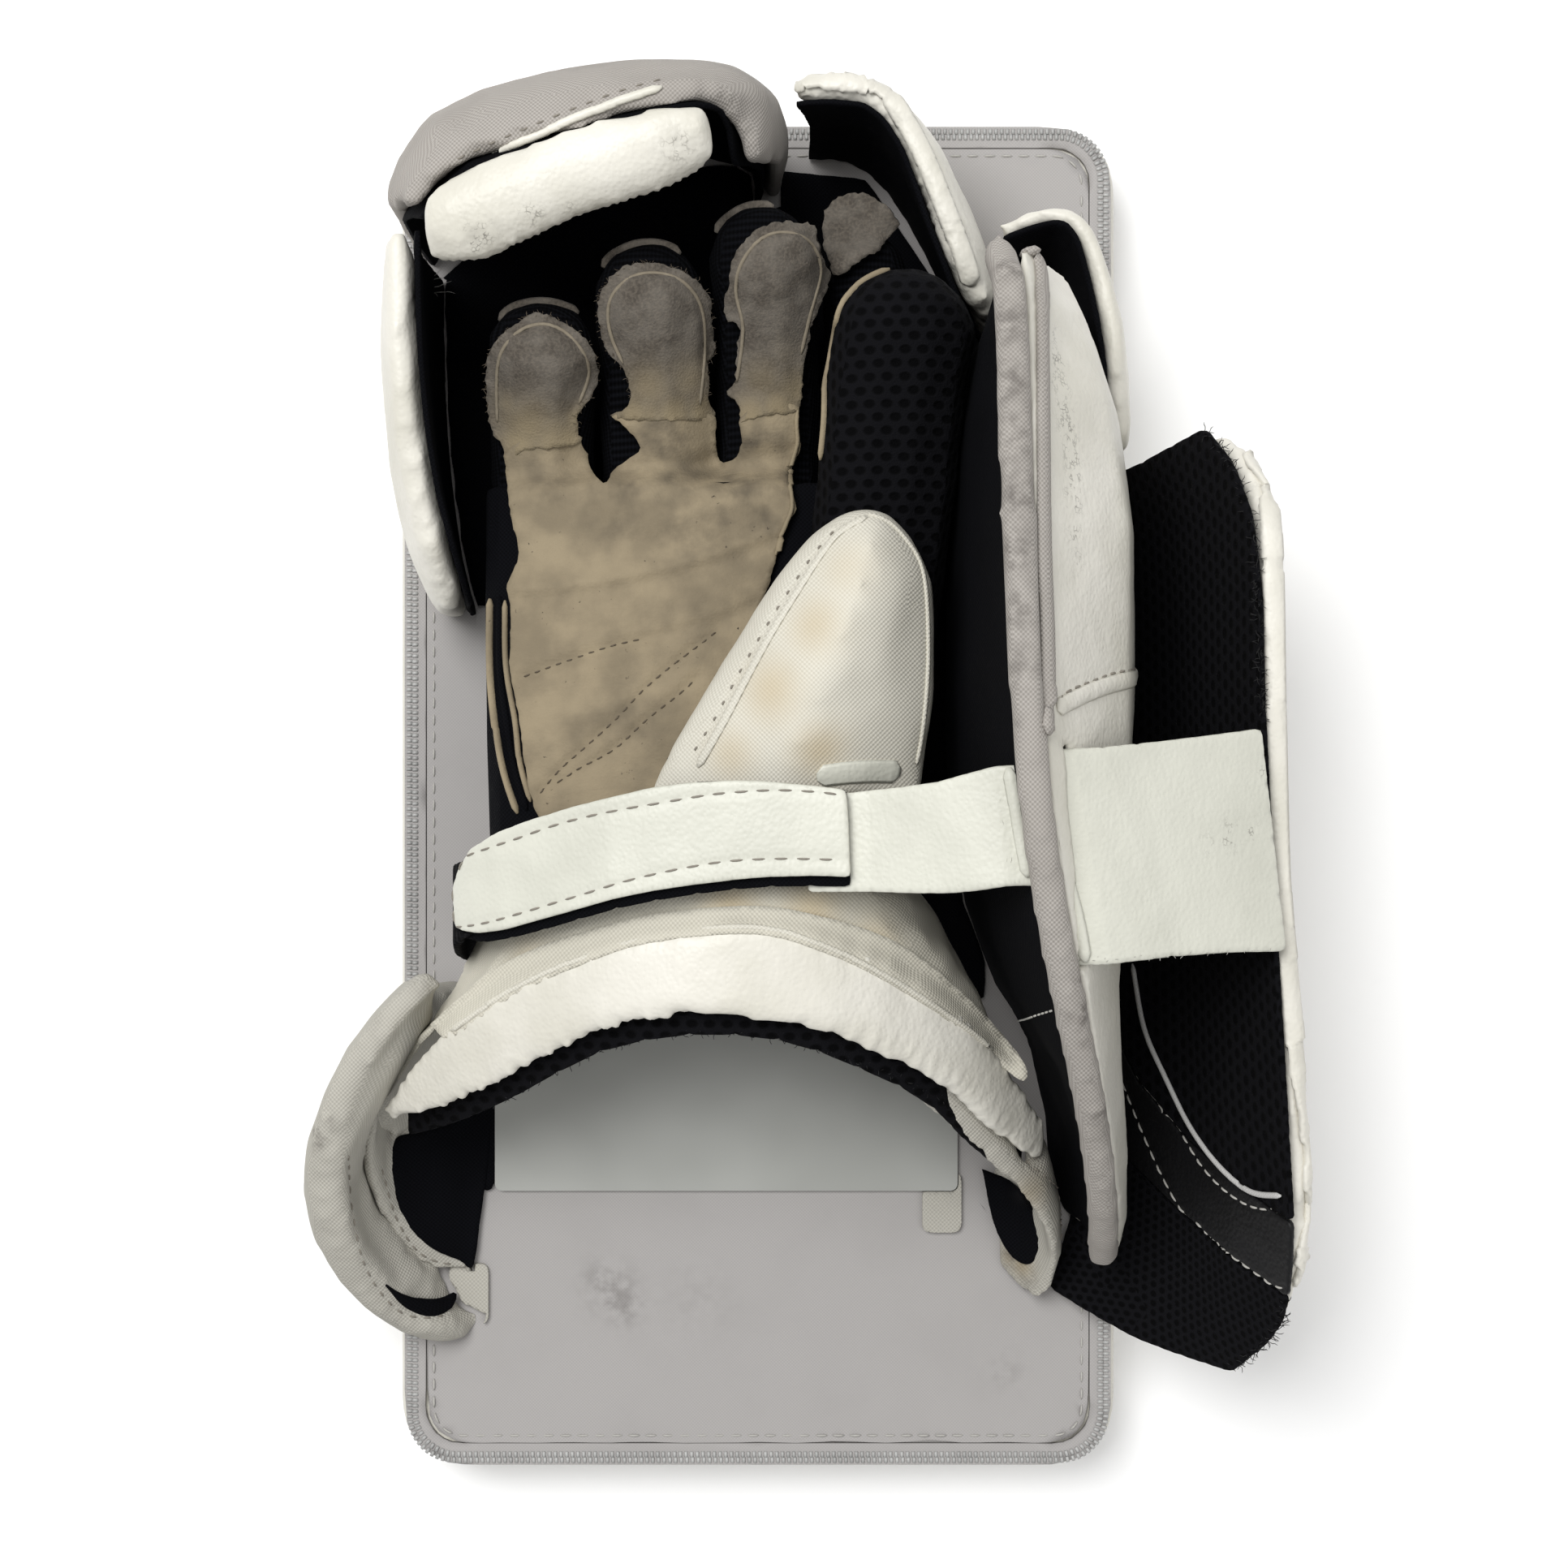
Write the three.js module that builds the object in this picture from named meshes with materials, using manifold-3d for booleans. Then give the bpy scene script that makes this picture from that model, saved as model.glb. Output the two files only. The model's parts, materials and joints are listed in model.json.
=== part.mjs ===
// Ice hockey goalie blocker for the right hand, lying on the face of its board with the palm up.
// Millimetres. X runs towards the thumb side, Y towards the fingertips, Z up out of the board's back.
// The origin is the middle of the board's face.
import * as THREE from "three";
import { mergeVertices } from "three/addons/utils/BufferGeometryUtils.js";
import Module from "manifold-3d";

const wasm = await Module();
wasm.setup();

// Driving sizes of the board and what lies on its back
const BOARD_LENGTH = 381;
const BOARD_WIDTH = 203;
const BOARD_THICKNESS = 25;
const BOARD_CORNER = 18;
const BOARD_EDGE_ROUND = 5;
const ZIPPER_WIDTH = 6;
const ZIPPER_INSET = 2;
const BACK_SKIN = 1.6;
const PLATE_THICKNESS = 1.6;
const PLATE_WIDTH = 130;
const PLATE_LENGTH = 62;
const PLATE_CORNER = 2;
const SIDE_STRIP_WIDTH = 4.5;
const TAB_WIDTH = 11;
const TAB_LENGTH = 17;

// Heights over the board's back, one for each group of pieces
const FINGER_BOX_HEIGHT = 92;
const SIDE_WALL_HEIGHT = 80;
const SHIELD_HEIGHT = 122;
const HAND_HEIGHT = 60;
const CUFF_HEIGHT = 97;

// Walls, pads and sheets
const LEATHER = 1.6;
const LINING = 1.6;
const KNIT_WALL = 1.5;
const STRAP = 2.2;
const STRAP_BACKING = 1.4;
const WEBBING = 1.8;
const WALL_PAD = 9;
const CORNER_PAD = 7;
const HOOD_PAD = 9;
const BAR_PAD = 15;
const SIDE_PAD = 9;
const SHIELD_LEATHER = 2.4;
const CUFF_PAD = 7;
const GUSSET = 2;
const ROLL_PAD = 12;
const LOOP_PAD = 5;
const GUARD_PAD = 26;
const BINDING_ROUND = 4.5;
const FINGER_SIDES = 10;

// Room left between two pieces that touch on the real object
const CLEARANCE = 0.3;

const HALF_WIDTH = BOARD_WIDTH / 2;
const HALF_LENGTH = BOARD_LENGTH / 2;
const SKIN_TOP = BOARD_THICKNESS + CLEARANCE + BACK_SKIN;
const DECK = SKIN_TOP + CLEARANCE;

// Finishes
const finish = (color, roughness) => new THREE.MeshStandardMaterial({ color, roughness, metalness: 0 });
const WHITE_LEATHER = finish("#e6e5dc", 0.55);
const CREAM_LEATHER = finish("#cdbba0", 0.8);
const GREY_SUEDE = finish("#9b9187", 0.95);
const WHITE_NYLON = finish("#d4d3ce", 0.85);
const CREAM_NYLON = finish("#d9d5c5", 0.85);
const GREY_TWILL = finish("#b8b4b2", 0.9);
const BLACK_NYLON = finish("#14151a", 0.85);
const BLACK_MESH = finish("#0b0c10", 0.9);
const BLACK_LEATHER = finish("#101014", 0.6);
const GREY_PLASTIC = finish("#a9aaa5", 0.6);

// A place given as shares of the board's half width, its half length and a height over its back
const spot = ([x, y, z], height) => new THREE.Vector3(x * HALF_WIDTH, y * HALF_LENGTH, DECK + z * height);

const smoothLine = (points) => new THREE.CatmullRomCurve3(points, false, "centripetal");

// Smooth surface over a table: u runs down its rows, v through the columns named
function surface(table, columns, height) {
  const lines = columns.map((name) => smoothLine(table.map((row) => spot(row[name], height))));
  return (u, v) => {
    const across = lines.map((line) => line.getPoint(u));
    return columns.length > 2 ? smoothLine(across).getPoint(v) : across[0].lerp(across[1], v);
  };
}

// The surface moved along its own normal by a distance that may change over it
function offset(base, distance) {
  const step = 0.01;
  return (u, v) => {
    const down = base(Math.min(u + step, 1), v).sub(base(Math.max(u - step, 0), v));
    const across = base(u, Math.min(v + step, 1)).sub(base(u, Math.max(v - step, 0)));
    const normal = down.cross(across).normalize();
    const far = typeof distance === "function" ? distance(u, v) : distance;
    return base(u, v).addScaledVector(normal, far);
  };
}

// The surface let down by a depth that changes over it
const lowered = (base, depth) => (u, v) => base(u, v).sub(new THREE.Vector3(0, 0, depth(u, v)));

// Swell of a pad: nothing at its edges, one over its middle
const swell = (u, v, power = 4) => (1 - Math.abs(2 * u - 1) ** power) * (1 - Math.abs(2 * v - 1) ** power);

// Closed mesh from corner places and triangles, with its faces turned outwards
function closedMesh(points, faces) {
  const volume = faces.reduce((sum, [a, b, c]) => {
    const cross = new THREE.Vector3().crossVectors(points[b], points[c]);
    return sum + points[a].dot(cross);
  }, 0);
  const turned = volume < 0 ? faces.map(([a, b, c]) => [a, c, b]) : faces;
  const geometry = new THREE.BufferGeometry();
  geometry.setAttribute("position", new THREE.Float32BufferAttribute(points.flatMap((p) => p.toArray()), 3));
  geometry.setIndex(turned.flat());
  return geometry;
}

// Padded sheet: the solid between two surfaces, cut into columns along u and rows along v
function quilt(outer, inner, columns, rows) {
  const points = [];
  const faces = [];
  const side = (columns + 1) * (rows + 1);
  const at = (layer, i, j) => layer * side + i * (rows + 1) + j;
  const face = (a, b, c, d) => faces.push([a, b, c], [a, c, d]);
  for (const sheet of [outer, inner]) {
    for (let i = 0; i <= columns; i++) {
      for (let j = 0; j <= rows; j++) points.push(sheet(i / columns, j / rows));
    }
  }
  for (let i = 0; i < columns; i++) {
    for (let j = 0; j < rows; j++) {
      face(at(0, i, j), at(0, i + 1, j), at(0, i + 1, j + 1), at(0, i, j + 1));
      face(at(1, i, j), at(1, i, j + 1), at(1, i + 1, j + 1), at(1, i + 1, j));
    }
    face(at(0, i, 0), at(1, i, 0), at(1, i + 1, 0), at(0, i + 1, 0));
    face(at(0, i, rows), at(0, i + 1, rows), at(1, i + 1, rows), at(1, i, rows));
  }
  for (let j = 0; j < rows; j++) {
    face(at(0, 0, j), at(0, 0, j + 1), at(1, 0, j + 1), at(1, 0, j));
    face(at(0, columns, j), at(1, columns, j), at(1, columns, j + 1), at(0, columns, j + 1));
  }
  return closedMesh(points, faces);
}

// Tube over a path that runs towards the fingertips: u goes round it, v along it to a round tip
function tube(path, halfWidth, halfHeight, tipStart, shorter = 0) {
  const line = smoothLine(path);
  const reach = 1 - shorter / line.getLength();
  return (u, v) => {
    const t = v * reach;
    const ahead = line.getTangent(t);
    const side = new THREE.Vector3(1, 0, 0).addScaledVector(ahead, -ahead.x).normalize();
    const up = new THREE.Vector3().crossVectors(side, ahead);
    const round = v > tipStart ? Math.sqrt(Math.max(0, 1 - ((v - tipStart) / (1 - tipStart)) ** 2)) : 1;
    const angle = 2 * Math.PI * u;
    return line
      .getPoint(t)
      .addScaledVector(side, Math.cos(angle) * (halfWidth - shorter) * round)
      .addScaledVector(up, Math.sin(angle) * (halfHeight - shorter) * round);
  };
}

// Rings along a tube, closer together where its tip rounds over
const RING_PLACES = [0, 0.22, 0.44, 0.64, 0.76, 0.86, 0.94, 0.985];

// Sleeve closed at its tip and open at its base, or filled when no inner surface is given
function sleeve(outer, inner) {
  const points = [];
  const faces = [];
  const last = RING_PLACES.length - 1;
  const skins = inner ? [outer, inner] : [outer];
  const side = RING_PLACES.length * FINGER_SIDES + 1;
  const at = (layer, ring, k) => layer * side + ring * FINGER_SIDES + (k % FINGER_SIDES);
  for (const skin of skins) {
    for (const v of RING_PLACES) {
      for (let k = 0; k < FINGER_SIDES; k++) points.push(skin(k / FINGER_SIDES, v));
    }
    points.push(skin(0, 1));
  }
  for (let k = 0; k < FINGER_SIDES; k++) {
    for (let ring = 0; ring < last; ring++) {
      const corners = [at(0, ring, k), at(0, ring, k + 1), at(0, ring + 1, k + 1), at(0, ring + 1, k)];
      faces.push([corners[0], corners[1], corners[2]], [corners[0], corners[2], corners[3]]);
      if (inner) {
        const [a, b, c, d] = corners.map((corner) => corner + side);
        faces.push([a, c, b], [a, d, c]);
      }
    }
    faces.push([at(0, last, k), at(0, last, k + 1), side - 1]);
    if (inner) {
      faces.push([at(1, last, k + 1), at(1, last, k), 2 * side - 1]);
      faces.push([at(0, 0, k + 1), at(0, 0, k), at(1, 0, k)], [at(0, 0, k + 1), at(1, 0, k), at(1, 0, k + 1)]);
    }
  }
  if (!inner) {
    for (let k = 1; k < FINGER_SIDES - 1; k++) faces.push([at(0, 0, 0), at(0, 0, k + 1), at(0, 0, k)]);
  }
  return closedMesh(points, faces);
}

// Outline of a rectangle with round corners, about its own middle
function roundedRectangle(width, length, corner, hole = false) {
  const line = hole ? new THREE.Path() : new THREE.Shape();
  const x = width / 2 - corner;
  const y = length / 2 - corner;
  line.absarc(x, y, corner, 0, Math.PI / 2);
  line.absarc(-x, y, corner, Math.PI / 2, Math.PI);
  line.absarc(-x, -y, corner, Math.PI, 1.5 * Math.PI);
  line.absarc(x, -y, corner, 1.5 * Math.PI, 2 * Math.PI);
  line.closePath();
  return line;
}

// Flat piece cut to an outline, with rounded edges where a round is given
function slab(shape, bottom, thickness, round = 0, curveSegments = 3) {
  const geometry = new THREE.ExtrudeGeometry(shape, {
    depth: thickness - 2 * round,
    bevelEnabled: round > 0,
    bevelThickness: round,
    bevelSize: round,
    bevelOffset: -round,
    bevelSegments: 2,
    curveSegments,
  });
  return geometry.translate(0, 0, bottom + round);
}

// Round strip along a line, such as a binding
function roll(points, radius, steps, sides = 4) {
  const disc = new THREE.Shape();
  disc.absarc(0, 0, radius, 0, 2 * Math.PI);
  const line = smoothLine(points);
  return new THREE.ExtrudeGeometry(disc, { extrudePath: line, steps, curveSegments: sides, bevelEnabled: false });
}

// Position and index alone, with shared corners merged
function bare(geometry) {
  const plain = new THREE.BufferGeometry();
  plain.setAttribute("position", geometry.getAttribute("position"));
  if (geometry.index) plain.setIndex(geometry.index);
  return mergeVertices(plain, 1e-3);
}

function solidOf(geometry) {
  const plain = bare(geometry);
  const vertProperties = new Float32Array(plain.getAttribute("position").array);
  const triVerts = new Uint32Array(plain.index.array);
  return new wasm.Manifold(new wasm.Mesh({ numProp: 3, vertProperties, triVerts }));
}

function geometryOf(solid) {
  const made = solid.getMesh();
  const geometry = new THREE.BufferGeometry();
  const places = new Float32Array(made.numVert * 3);
  for (let i = 0; i < made.numVert; i++) {
    places.set(made.vertProperties.subarray(i * made.numProp, i * made.numProp + 3), i * 3);
  }
  geometry.setAttribute("position", new THREE.BufferAttribute(places, 3));
  geometry.setIndex(new THREE.BufferAttribute(new Uint32Array(made.triVerts), 1));
  return geometry.toNonIndexed();
}

// The same mesh with each corner moved out until every face round it has moved by the distance
function grown(geometry, distance) {
  const plain = bare(geometry);
  const place = plain.getAttribute("position");
  const around = Array.from({ length: place.count }, () => []);
  const corner = (i) => new THREE.Vector3().fromBufferAttribute(place, i);
  for (let i = 0; i < plain.index.count; i += 3) {
    const ids = [0, 1, 2].map((k) => plain.index.getX(i + k));
    const [a, b, c] = ids.map(corner);
    const normal = b.sub(a).cross(c.sub(a)).normalize();
    for (const id of ids) around[id].push(normal);
  }
  const rounds = 12;
  const farthest = 3 * distance;
  around.forEach((normals, id) => {
    const move = new THREE.Vector3();
    for (let round = 0; round < rounds; round++) {
      for (const normal of normals) {
        const short = distance - move.dot(normal);
        if (short > 0) move.addScaledVector(normal, short);
      }
    }
    move.clampLength(0, farthest).add(corner(id));
    place.setXYZ(id, move.x, move.y, move.z);
  });
  return plain;
}

const blocker = new THREE.Group();
const rooms = new Map();

// Adds a piece, trimmed to lie a clearance off the pieces it rests on; room is the space it keeps for itself
function addPiece(name, material, geometry, restsOn = [], room = geometry) {
  let solid = solidOf(geometry);
  for (const other of restsOn) solid = solid.subtract(rooms.get(other));
  const [largest] = solid.decompose().sort((a, b) => b.volume() - a.volume());
  const mesh = new THREE.Mesh(geometryOf(largest), material);
  mesh.name = name;
  blocker.add(mesh);
  rooms.set(name, solidOf(grown(room, CLEARANCE)));
}

// Board: a stiff foam slab with a zipped cover
const boardShape = roundedRectangle(BOARD_WIDTH, BOARD_LENGTH, BOARD_CORNER);
addPiece("board", WHITE_LEATHER, slab(boardShape, 0, BOARD_THICKNESS, BOARD_EDGE_ROUND));

const zipperOuter = { width: BOARD_WIDTH - 2 * ZIPPER_INSET, length: BOARD_LENGTH - 2 * ZIPPER_INSET };
const zipperInner = { width: zipperOuter.width - 2 * ZIPPER_WIDTH, length: zipperOuter.length - 2 * ZIPPER_WIDTH };
const zipperShape = roundedRectangle(zipperOuter.width, zipperOuter.length, BOARD_CORNER - ZIPPER_INSET);
const innerCorner = BOARD_CORNER - ZIPPER_INSET - ZIPPER_WIDTH;
zipperShape.holes.push(roundedRectangle(zipperInner.width, zipperInner.length, innerCorner, true));
addPiece("board_zipper", WHITE_NYLON, slab(zipperShape, BOARD_THICKNESS - BOARD_EDGE_ROUND, BOARD_EDGE_ROUND
  + CLEARANCE + BACK_SKIN), ["board"]);

const panelShape = roundedRectangle(zipperInner.width - 2 * CLEARANCE, zipperInner.length - 2 * CLEARANCE, innerCorner);
const panelBottom = BOARD_THICKNESS + CLEARANCE;
addPiece("board_back_panel", WHITE_NYLON, slab(panelShape, panelBottom, BACK_SKIN), ["board", "board_zipper"]);
const BASE = ["board", "board_zipper", "board_back_panel"];

// Stiff wrist plate on the board's back, under the cuff
const PLATE_MIDDLE = [-0.087, -0.42];
const plateShape = roundedRectangle(PLATE_WIDTH, PLATE_LENGTH, PLATE_CORNER);
const plate = slab(plateShape, DECK, PLATE_THICKNESS, 0, 2);
plate.translate(PLATE_MIDDLE[0] * HALF_WIDTH, PLATE_MIDDLE[1] * HALF_LENGTH, 0);
addPiece("wrist_plate", GREY_PLASTIC, plate, BASE);

const stripShape = roundedRectangle(SIDE_STRIP_WIDTH, PLATE_LENGTH, PLATE_CORNER);
const strip = slab(stripShape, DECK, PLATE_THICKNESS, 0, 2);
const stripX = PLATE_MIDDLE[0] * HALF_WIDTH - (PLATE_WIDTH + SIDE_STRIP_WIDTH) / 2 - CLEARANCE;
strip.translate(stripX, PLATE_MIDDLE[1] * HALF_LENGTH, 0);
addPiece("plate_side_strip", BLACK_NYLON, strip, BASE.concat("wrist_plate"));
BASE.push("wrist_plate", "plate_side_strip");

// Padded back of the hand and the palm over it, both open at the wrist and at the knuckles
const HAND = [
  { y: -0.22, left: -0.69, right: 0.39, top: 1.12, seam: 0.66, floor: 0.34 },
  { y: -0.12, left: -0.69, right: 0.38, top: 1.12, seam: 0.66, floor: 0.34 },
  { y: 0, left: -0.7, right: 0.38, top: 1.08, seam: 0.66, floor: 0.34 },
  { y: 0.2, left: -0.71, right: 0.4, top: 1.0, seam: 0.64, floor: 0.34 },
  { y: 0.43, left: -0.71, right: 0.42, top: 0.9, seam: 0.62, floor: 0.34 },
];
const PALM_ROUND = 0.62;
const BACK_INNER_ROUND = 0.62;
const BACK_OUTER_ROUND = 0.3;
const HAND_SIDE_WALL = 3;
const handColumn = (name) => new THREE.SplineCurve(HAND.map((row, i) => new THREE.Vector2(i, row[name])));
const handColumns = Object.fromEntries(Object.keys(HAND[0]).map((name) => [name, handColumn(name)]));

// Oval half ring of the hand: sign 1 is the palm half, -1 the half on the board
function handRing(sign, round, thinner, edge) {
  return (u, v) => {
    const row = Object.fromEntries(Object.entries(handColumns).map(([name, line]) => [name, line.getPoint(v).y]));
    const middle = ((row.left + row.right) / 2) * HALF_WIDTH;
    const halfWide = ((row.right - row.left) / 2) * HALF_WIDTH - thinner;
    const seam = DECK + row.seam * HAND_HEIGHT + (sign * CLEARANCE) / 2;
    const angle = Math.PI * u;
    const wide = Math.sign(Math.cos(angle)) * Math.abs(Math.cos(angle)) ** round;
    const high = Math.abs(Math.sin(angle)) ** round;
    return new THREE.Vector3(middle - wide * halfWide, row.y * HALF_LENGTH, seam + (edge(row) - seam) * high);
  };
}
const palmTop = (row) => DECK + row.top * HAND_HEIGHT;
const handFloor = (row) => DECK + row.floor * HAND_HEIGHT;
const palmOuter = handRing(1, PALM_ROUND, 0, palmTop);
const palmInner = handRing(1, PALM_ROUND, LEATHER, (row) => palmTop(row) - LEATHER);
const backOuter = handRing(-1, BACK_OUTER_ROUND, 0, () => DECK);
const backInner = handRing(-1, BACK_INNER_ROUND, HAND_SIDE_WALL, handFloor);

// Thumb, laid over the index side of the palm
const THUMB = { path: [[0.27, 0.16, 0.9], [0.32, 0.36, 1.06], [0.35, 0.54, 1.2], [0.4, 0.69, 1.36]] };
const THUMB_HALF_WIDTH = 18;
const THUMB_HALF_HEIGHT = 13;
const THUMB_TIP_START = 0.82;
const thumbPath = THUMB.path.map((place) => spot(place, HAND_HEIGHT));
const thumbOuter = tube(thumbPath, THUMB_HALF_WIDTH, THUMB_HALF_HEIGHT, THUMB_TIP_START);
const thumbInner = tube(thumbPath, THUMB_HALF_WIDTH, THUMB_HALF_HEIGHT, THUMB_TIP_START, KNIT_WALL);
const thumbRoom = sleeve(thumbOuter);
addPiece("thumb_sleeve", BLACK_MESH, sleeve(thumbOuter, thumbInner), [], thumbRoom);

addPiece("hand_back", BLACK_NYLON, quilt(backOuter, backInner, 14, 4), BASE.concat("thumb_sleeve"));
addPiece("palm_panel", CREAM_LEATHER, quilt(palmOuter, palmInner, 12, 5), ["hand_back", "thumb_sleeve"]);

// Four fingers: knit sleeves, each with a leather pad over its palm side
const FINGERS = [
  { name: "little", path: [[-0.56, 0.4, 0.56], [-0.56, 0.53, 0.66], [-0.54, 0.66, 1.0]], half: [14, 12] },
  { name: "ring", path: [[-0.26, 0.4, 0.56], [-0.27, 0.57, 0.68], [-0.27, 0.74, 1.05]], half: [14.5, 12.5] },
  { name: "middle", path: [[0.03, 0.4, 0.56], [0.03, 0.6, 0.68], [0.01, 0.79, 1.08]], half: [14, 12.5] },
  { name: "index", path: [[0.29, 0.4, 0.52], [0.29, 0.6, 0.56], [0.28, 0.78, 0.74]], half: [11.5, 11] },
];
const FINGER_TIP_START = 0.84;
const PAD_RINGS = RING_PLACES.slice(1, 7);

// Place along a finger of its pad, which shares the finger's own rings
function padPlace(v) {
  const place = v * (PAD_RINGS.length - 1);
  const ring = Math.min(Math.floor(place), PAD_RINGS.length - 2);
  return THREE.MathUtils.lerp(PAD_RINGS[ring], PAD_RINGS[ring + 1], place - ring);
}
for (const { name, path, half } of FINGERS) {
  const line = path.map((place) => spot(place, HAND_HEIGHT));
  const outer = tube(line, half[0], half[1], FINGER_TIP_START);
  const inner = tube(line, half[0], half[1], FINGER_TIP_START, KNIT_WALL);
  const before = FINGERS.map((finger) => "finger_" + finger.name).filter((other) => rooms.has(other));
  const restsOn = ["hand_back", "palm_panel", "thumb_sleeve", ...before];
  addPiece("finger_" + name, BLACK_MESH, sleeve(outer, inner), restsOn, sleeve(outer));
}
for (const { name, path, half } of FINGERS) {
  const line = path.map((place) => spot(place, HAND_HEIGHT));
  const outer = tube(line, half[0], half[1], FINGER_TIP_START);
  const palmSide = (u, v) => outer((1 - u) / 2, padPlace(v));
  const pad = quilt(offset(palmSide, CLEARANCE + LEATHER), offset(palmSide, CLEARANCE), FINGER_SIDES / 2, 5);
  const others = FINGERS.filter((finger) => finger.name !== name)
    .flatMap((finger) => ["finger_" + finger.name, "finger_pad_" + finger.name])
    .filter((other) => rooms.has(other));
  addPiece("finger_pad_" + name, GREY_SUEDE, pad, ["palm_panel", "thumb_sleeve", ...others]);
}
const HAND_PIECES = ["hand_back", "palm_panel", "thumb_sleeve"]
  .concat(FINGERS.map(({ name }) => "finger_" + name), FINGERS.map(({ name }) => "finger_pad_" + name));

// Walls of the finger box, each standing on the board with a dark lining on its inner face
const FOOT = -0.03;
const LITTLE_SIDE = [
  { foot: [-0.82, 0.26, FOOT], knee: [-0.81, 0.26, 0.21], rim: [-0.78, 0.26, 0.41] },
  { foot: [-0.85, 0.31, FOOT], knee: [-0.85, 0.32, 0.3], rim: [-0.8, 0.32, 0.6] },
  { foot: [-0.88, 0.41, FOOT], knee: [-0.89, 0.41, 0.37], rim: [-0.84, 0.42, 0.69] },
  { foot: [-0.9, 0.51, FOOT], knee: [-0.91, 0.51, 0.41], rim: [-0.86, 0.52, 0.76] },
  { foot: [-0.91, 0.62, FOOT], knee: [-0.92, 0.62, 0.43], rim: [-0.87, 0.62, 0.8] },
  { foot: [-0.91, 0.76, FOOT], knee: [-0.92, 0.76, 0.45], rim: [-0.87, 0.75, 0.82] },
];
const HOOD = [
  { foot: [-0.93, 0.79, FOOT], knee: [-0.94, 0.8, 0.54], rim: [-0.84, 0.77, 0.87] },
  { foot: [-0.83, 0.89, FOOT], knee: [-0.83, 0.9, 0.58], rim: [-0.73, 0.83, 0.91] },
  { foot: [-0.6, 0.94, FOOT], knee: [-0.6, 0.95, 0.6], rim: [-0.46, 0.87, 0.96] },
  { foot: [-0.3, 0.96, FOOT], knee: [-0.3, 0.97, 0.62], rim: [-0.26, 0.9, 0.99] },
  { foot: [-0.1, 0.96, FOOT], knee: [-0.1, 0.97, 0.62], rim: [-0.12, 0.91, 0.99] },
  { foot: [0.02, 0.93, FOOT], knee: [0.03, 0.94, 0.56], rim: [-0.05, 0.9, 0.91] },
  { foot: [0.03, 0.87, FOOT], knee: [0.05, 0.87, 0.45], rim: [-0.02, 0.84, 0.76] },
];
const INDEX_SIDE = [
  { foot: [0.14, 0.96, FOOT], knee: [0.14, 0.97, 0.32], rim: [0.1, 0.96, 0.63] },
  { foot: [0.24, 0.96, FOOT], knee: [0.24, 0.97, 0.35], rim: [0.19, 0.96, 0.65] },
  { foot: [0.35, 0.93, FOOT], knee: [0.36, 0.94, 0.35], rim: [0.31, 0.95, 0.65] },
  { foot: [0.45, 0.86, FOOT], knee: [0.46, 0.87, 0.35], rim: [0.4, 0.89, 0.65] },
  { foot: [0.53, 0.78, FOOT], knee: [0.54, 0.78, 0.35], rim: [0.46, 0.8, 0.65] },
  { foot: [0.6, 0.7, FOOT], knee: [0.6, 0.7, 0.35], rim: [0.52, 0.72, 0.63] },
  { foot: [0.63, 0.64, FOOT], knee: [0.64, 0.64, 0.32], rim: [0.56, 0.67, 0.58] },
];
const CORNER = [
  { foot: [0.66, 0.77, FOOT], knee: [0.65, 0.78, 0.21], rim: [0.64, 0.8, 0.37] },
  { foot: [0.77, 0.79, FOOT], knee: [0.78, 0.81, 0.24], rim: [0.79, 0.82, 0.43] },
  { foot: [0.85, 0.77, FOOT], knee: [0.86, 0.78, 0.24], rim: [0.85, 0.8, 0.45] },
  { foot: [0.91, 0.7, FOOT], knee: [0.92, 0.7, 0.24], rim: [0.9, 0.72, 0.45] },
  { foot: [0.94, 0.59, FOOT], knee: [0.95, 0.59, 0.24], rim: [0.94, 0.6, 0.45] },
  { foot: [0.95, 0.48, FOOT], knee: [0.96, 0.48, 0.19], rim: [0.96, 0.48, 0.37] },
];
const SIDE_WALL = [
  { foot: [0.96, 0.46, FOOT], knee: [1.06, 0.48, 0.37], rim: [1.18, 0.5, 0.72] },
  { foot: [0.96, 0.39, FOOT], knee: [1.12, 0.41, 0.4], rim: [1.25, 0.42, 0.9] },
  { foot: [0.96, 0.26, FOOT], knee: [1.15, 0.28, 0.41], rim: [1.28, 0.3, 0.98] },
  { foot: [0.96, 0.07, FOOT], knee: [1.16, 0.08, 0.41], rim: [1.29, 0.09, 1.0] },
  { foot: [0.96, -0.21, FOOT], knee: [1.18, -0.2, 0.41], rim: [1.32, -0.2, 1.0] },
  { foot: [0.95, -0.44, FOOT], knee: [1.19, -0.45, 0.4], rim: [1.35, -0.44, 0.97] },
  { foot: [0.92, -0.57, FOOT], knee: [1.18, -0.59, 0.36], rim: [1.37, -0.59, 0.91] },
  { foot: [0.87, -0.67, FOOT], knee: [1.14, -0.71, 0.3], rim: [1.36, -0.71, 0.75] },
  { foot: [0.83, -0.73, FOOT], knee: [1.05, -0.78, 0.2], rim: [1.27, -0.79, 0.5] },
];
const WALL_COLUMNS = ["foot", "knee", "rim"];

// Half the thickness of a padded wall over its face, thinner at its edges
const EDGE_SHARE = 0.55;
const padHalf = (thickness) => (u, v) => (thickness / 2) * (EDGE_SHARE + (1 - EDGE_SHARE) * swell(u, v));

// Adds a padded wall and the lining on its inner face
function addWall(name, face, thickness, material, steps, restsOn) {
  const half = padHalf(thickness);
  const outer = offset(face, (u, v) => -half(u, v));
  addPiece(name, material, quilt(outer, offset(face, half), ...steps), restsOn);
  addLining(name + "_lining", face, half, BLACK_NYLON, steps, restsOn);
}

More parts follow.
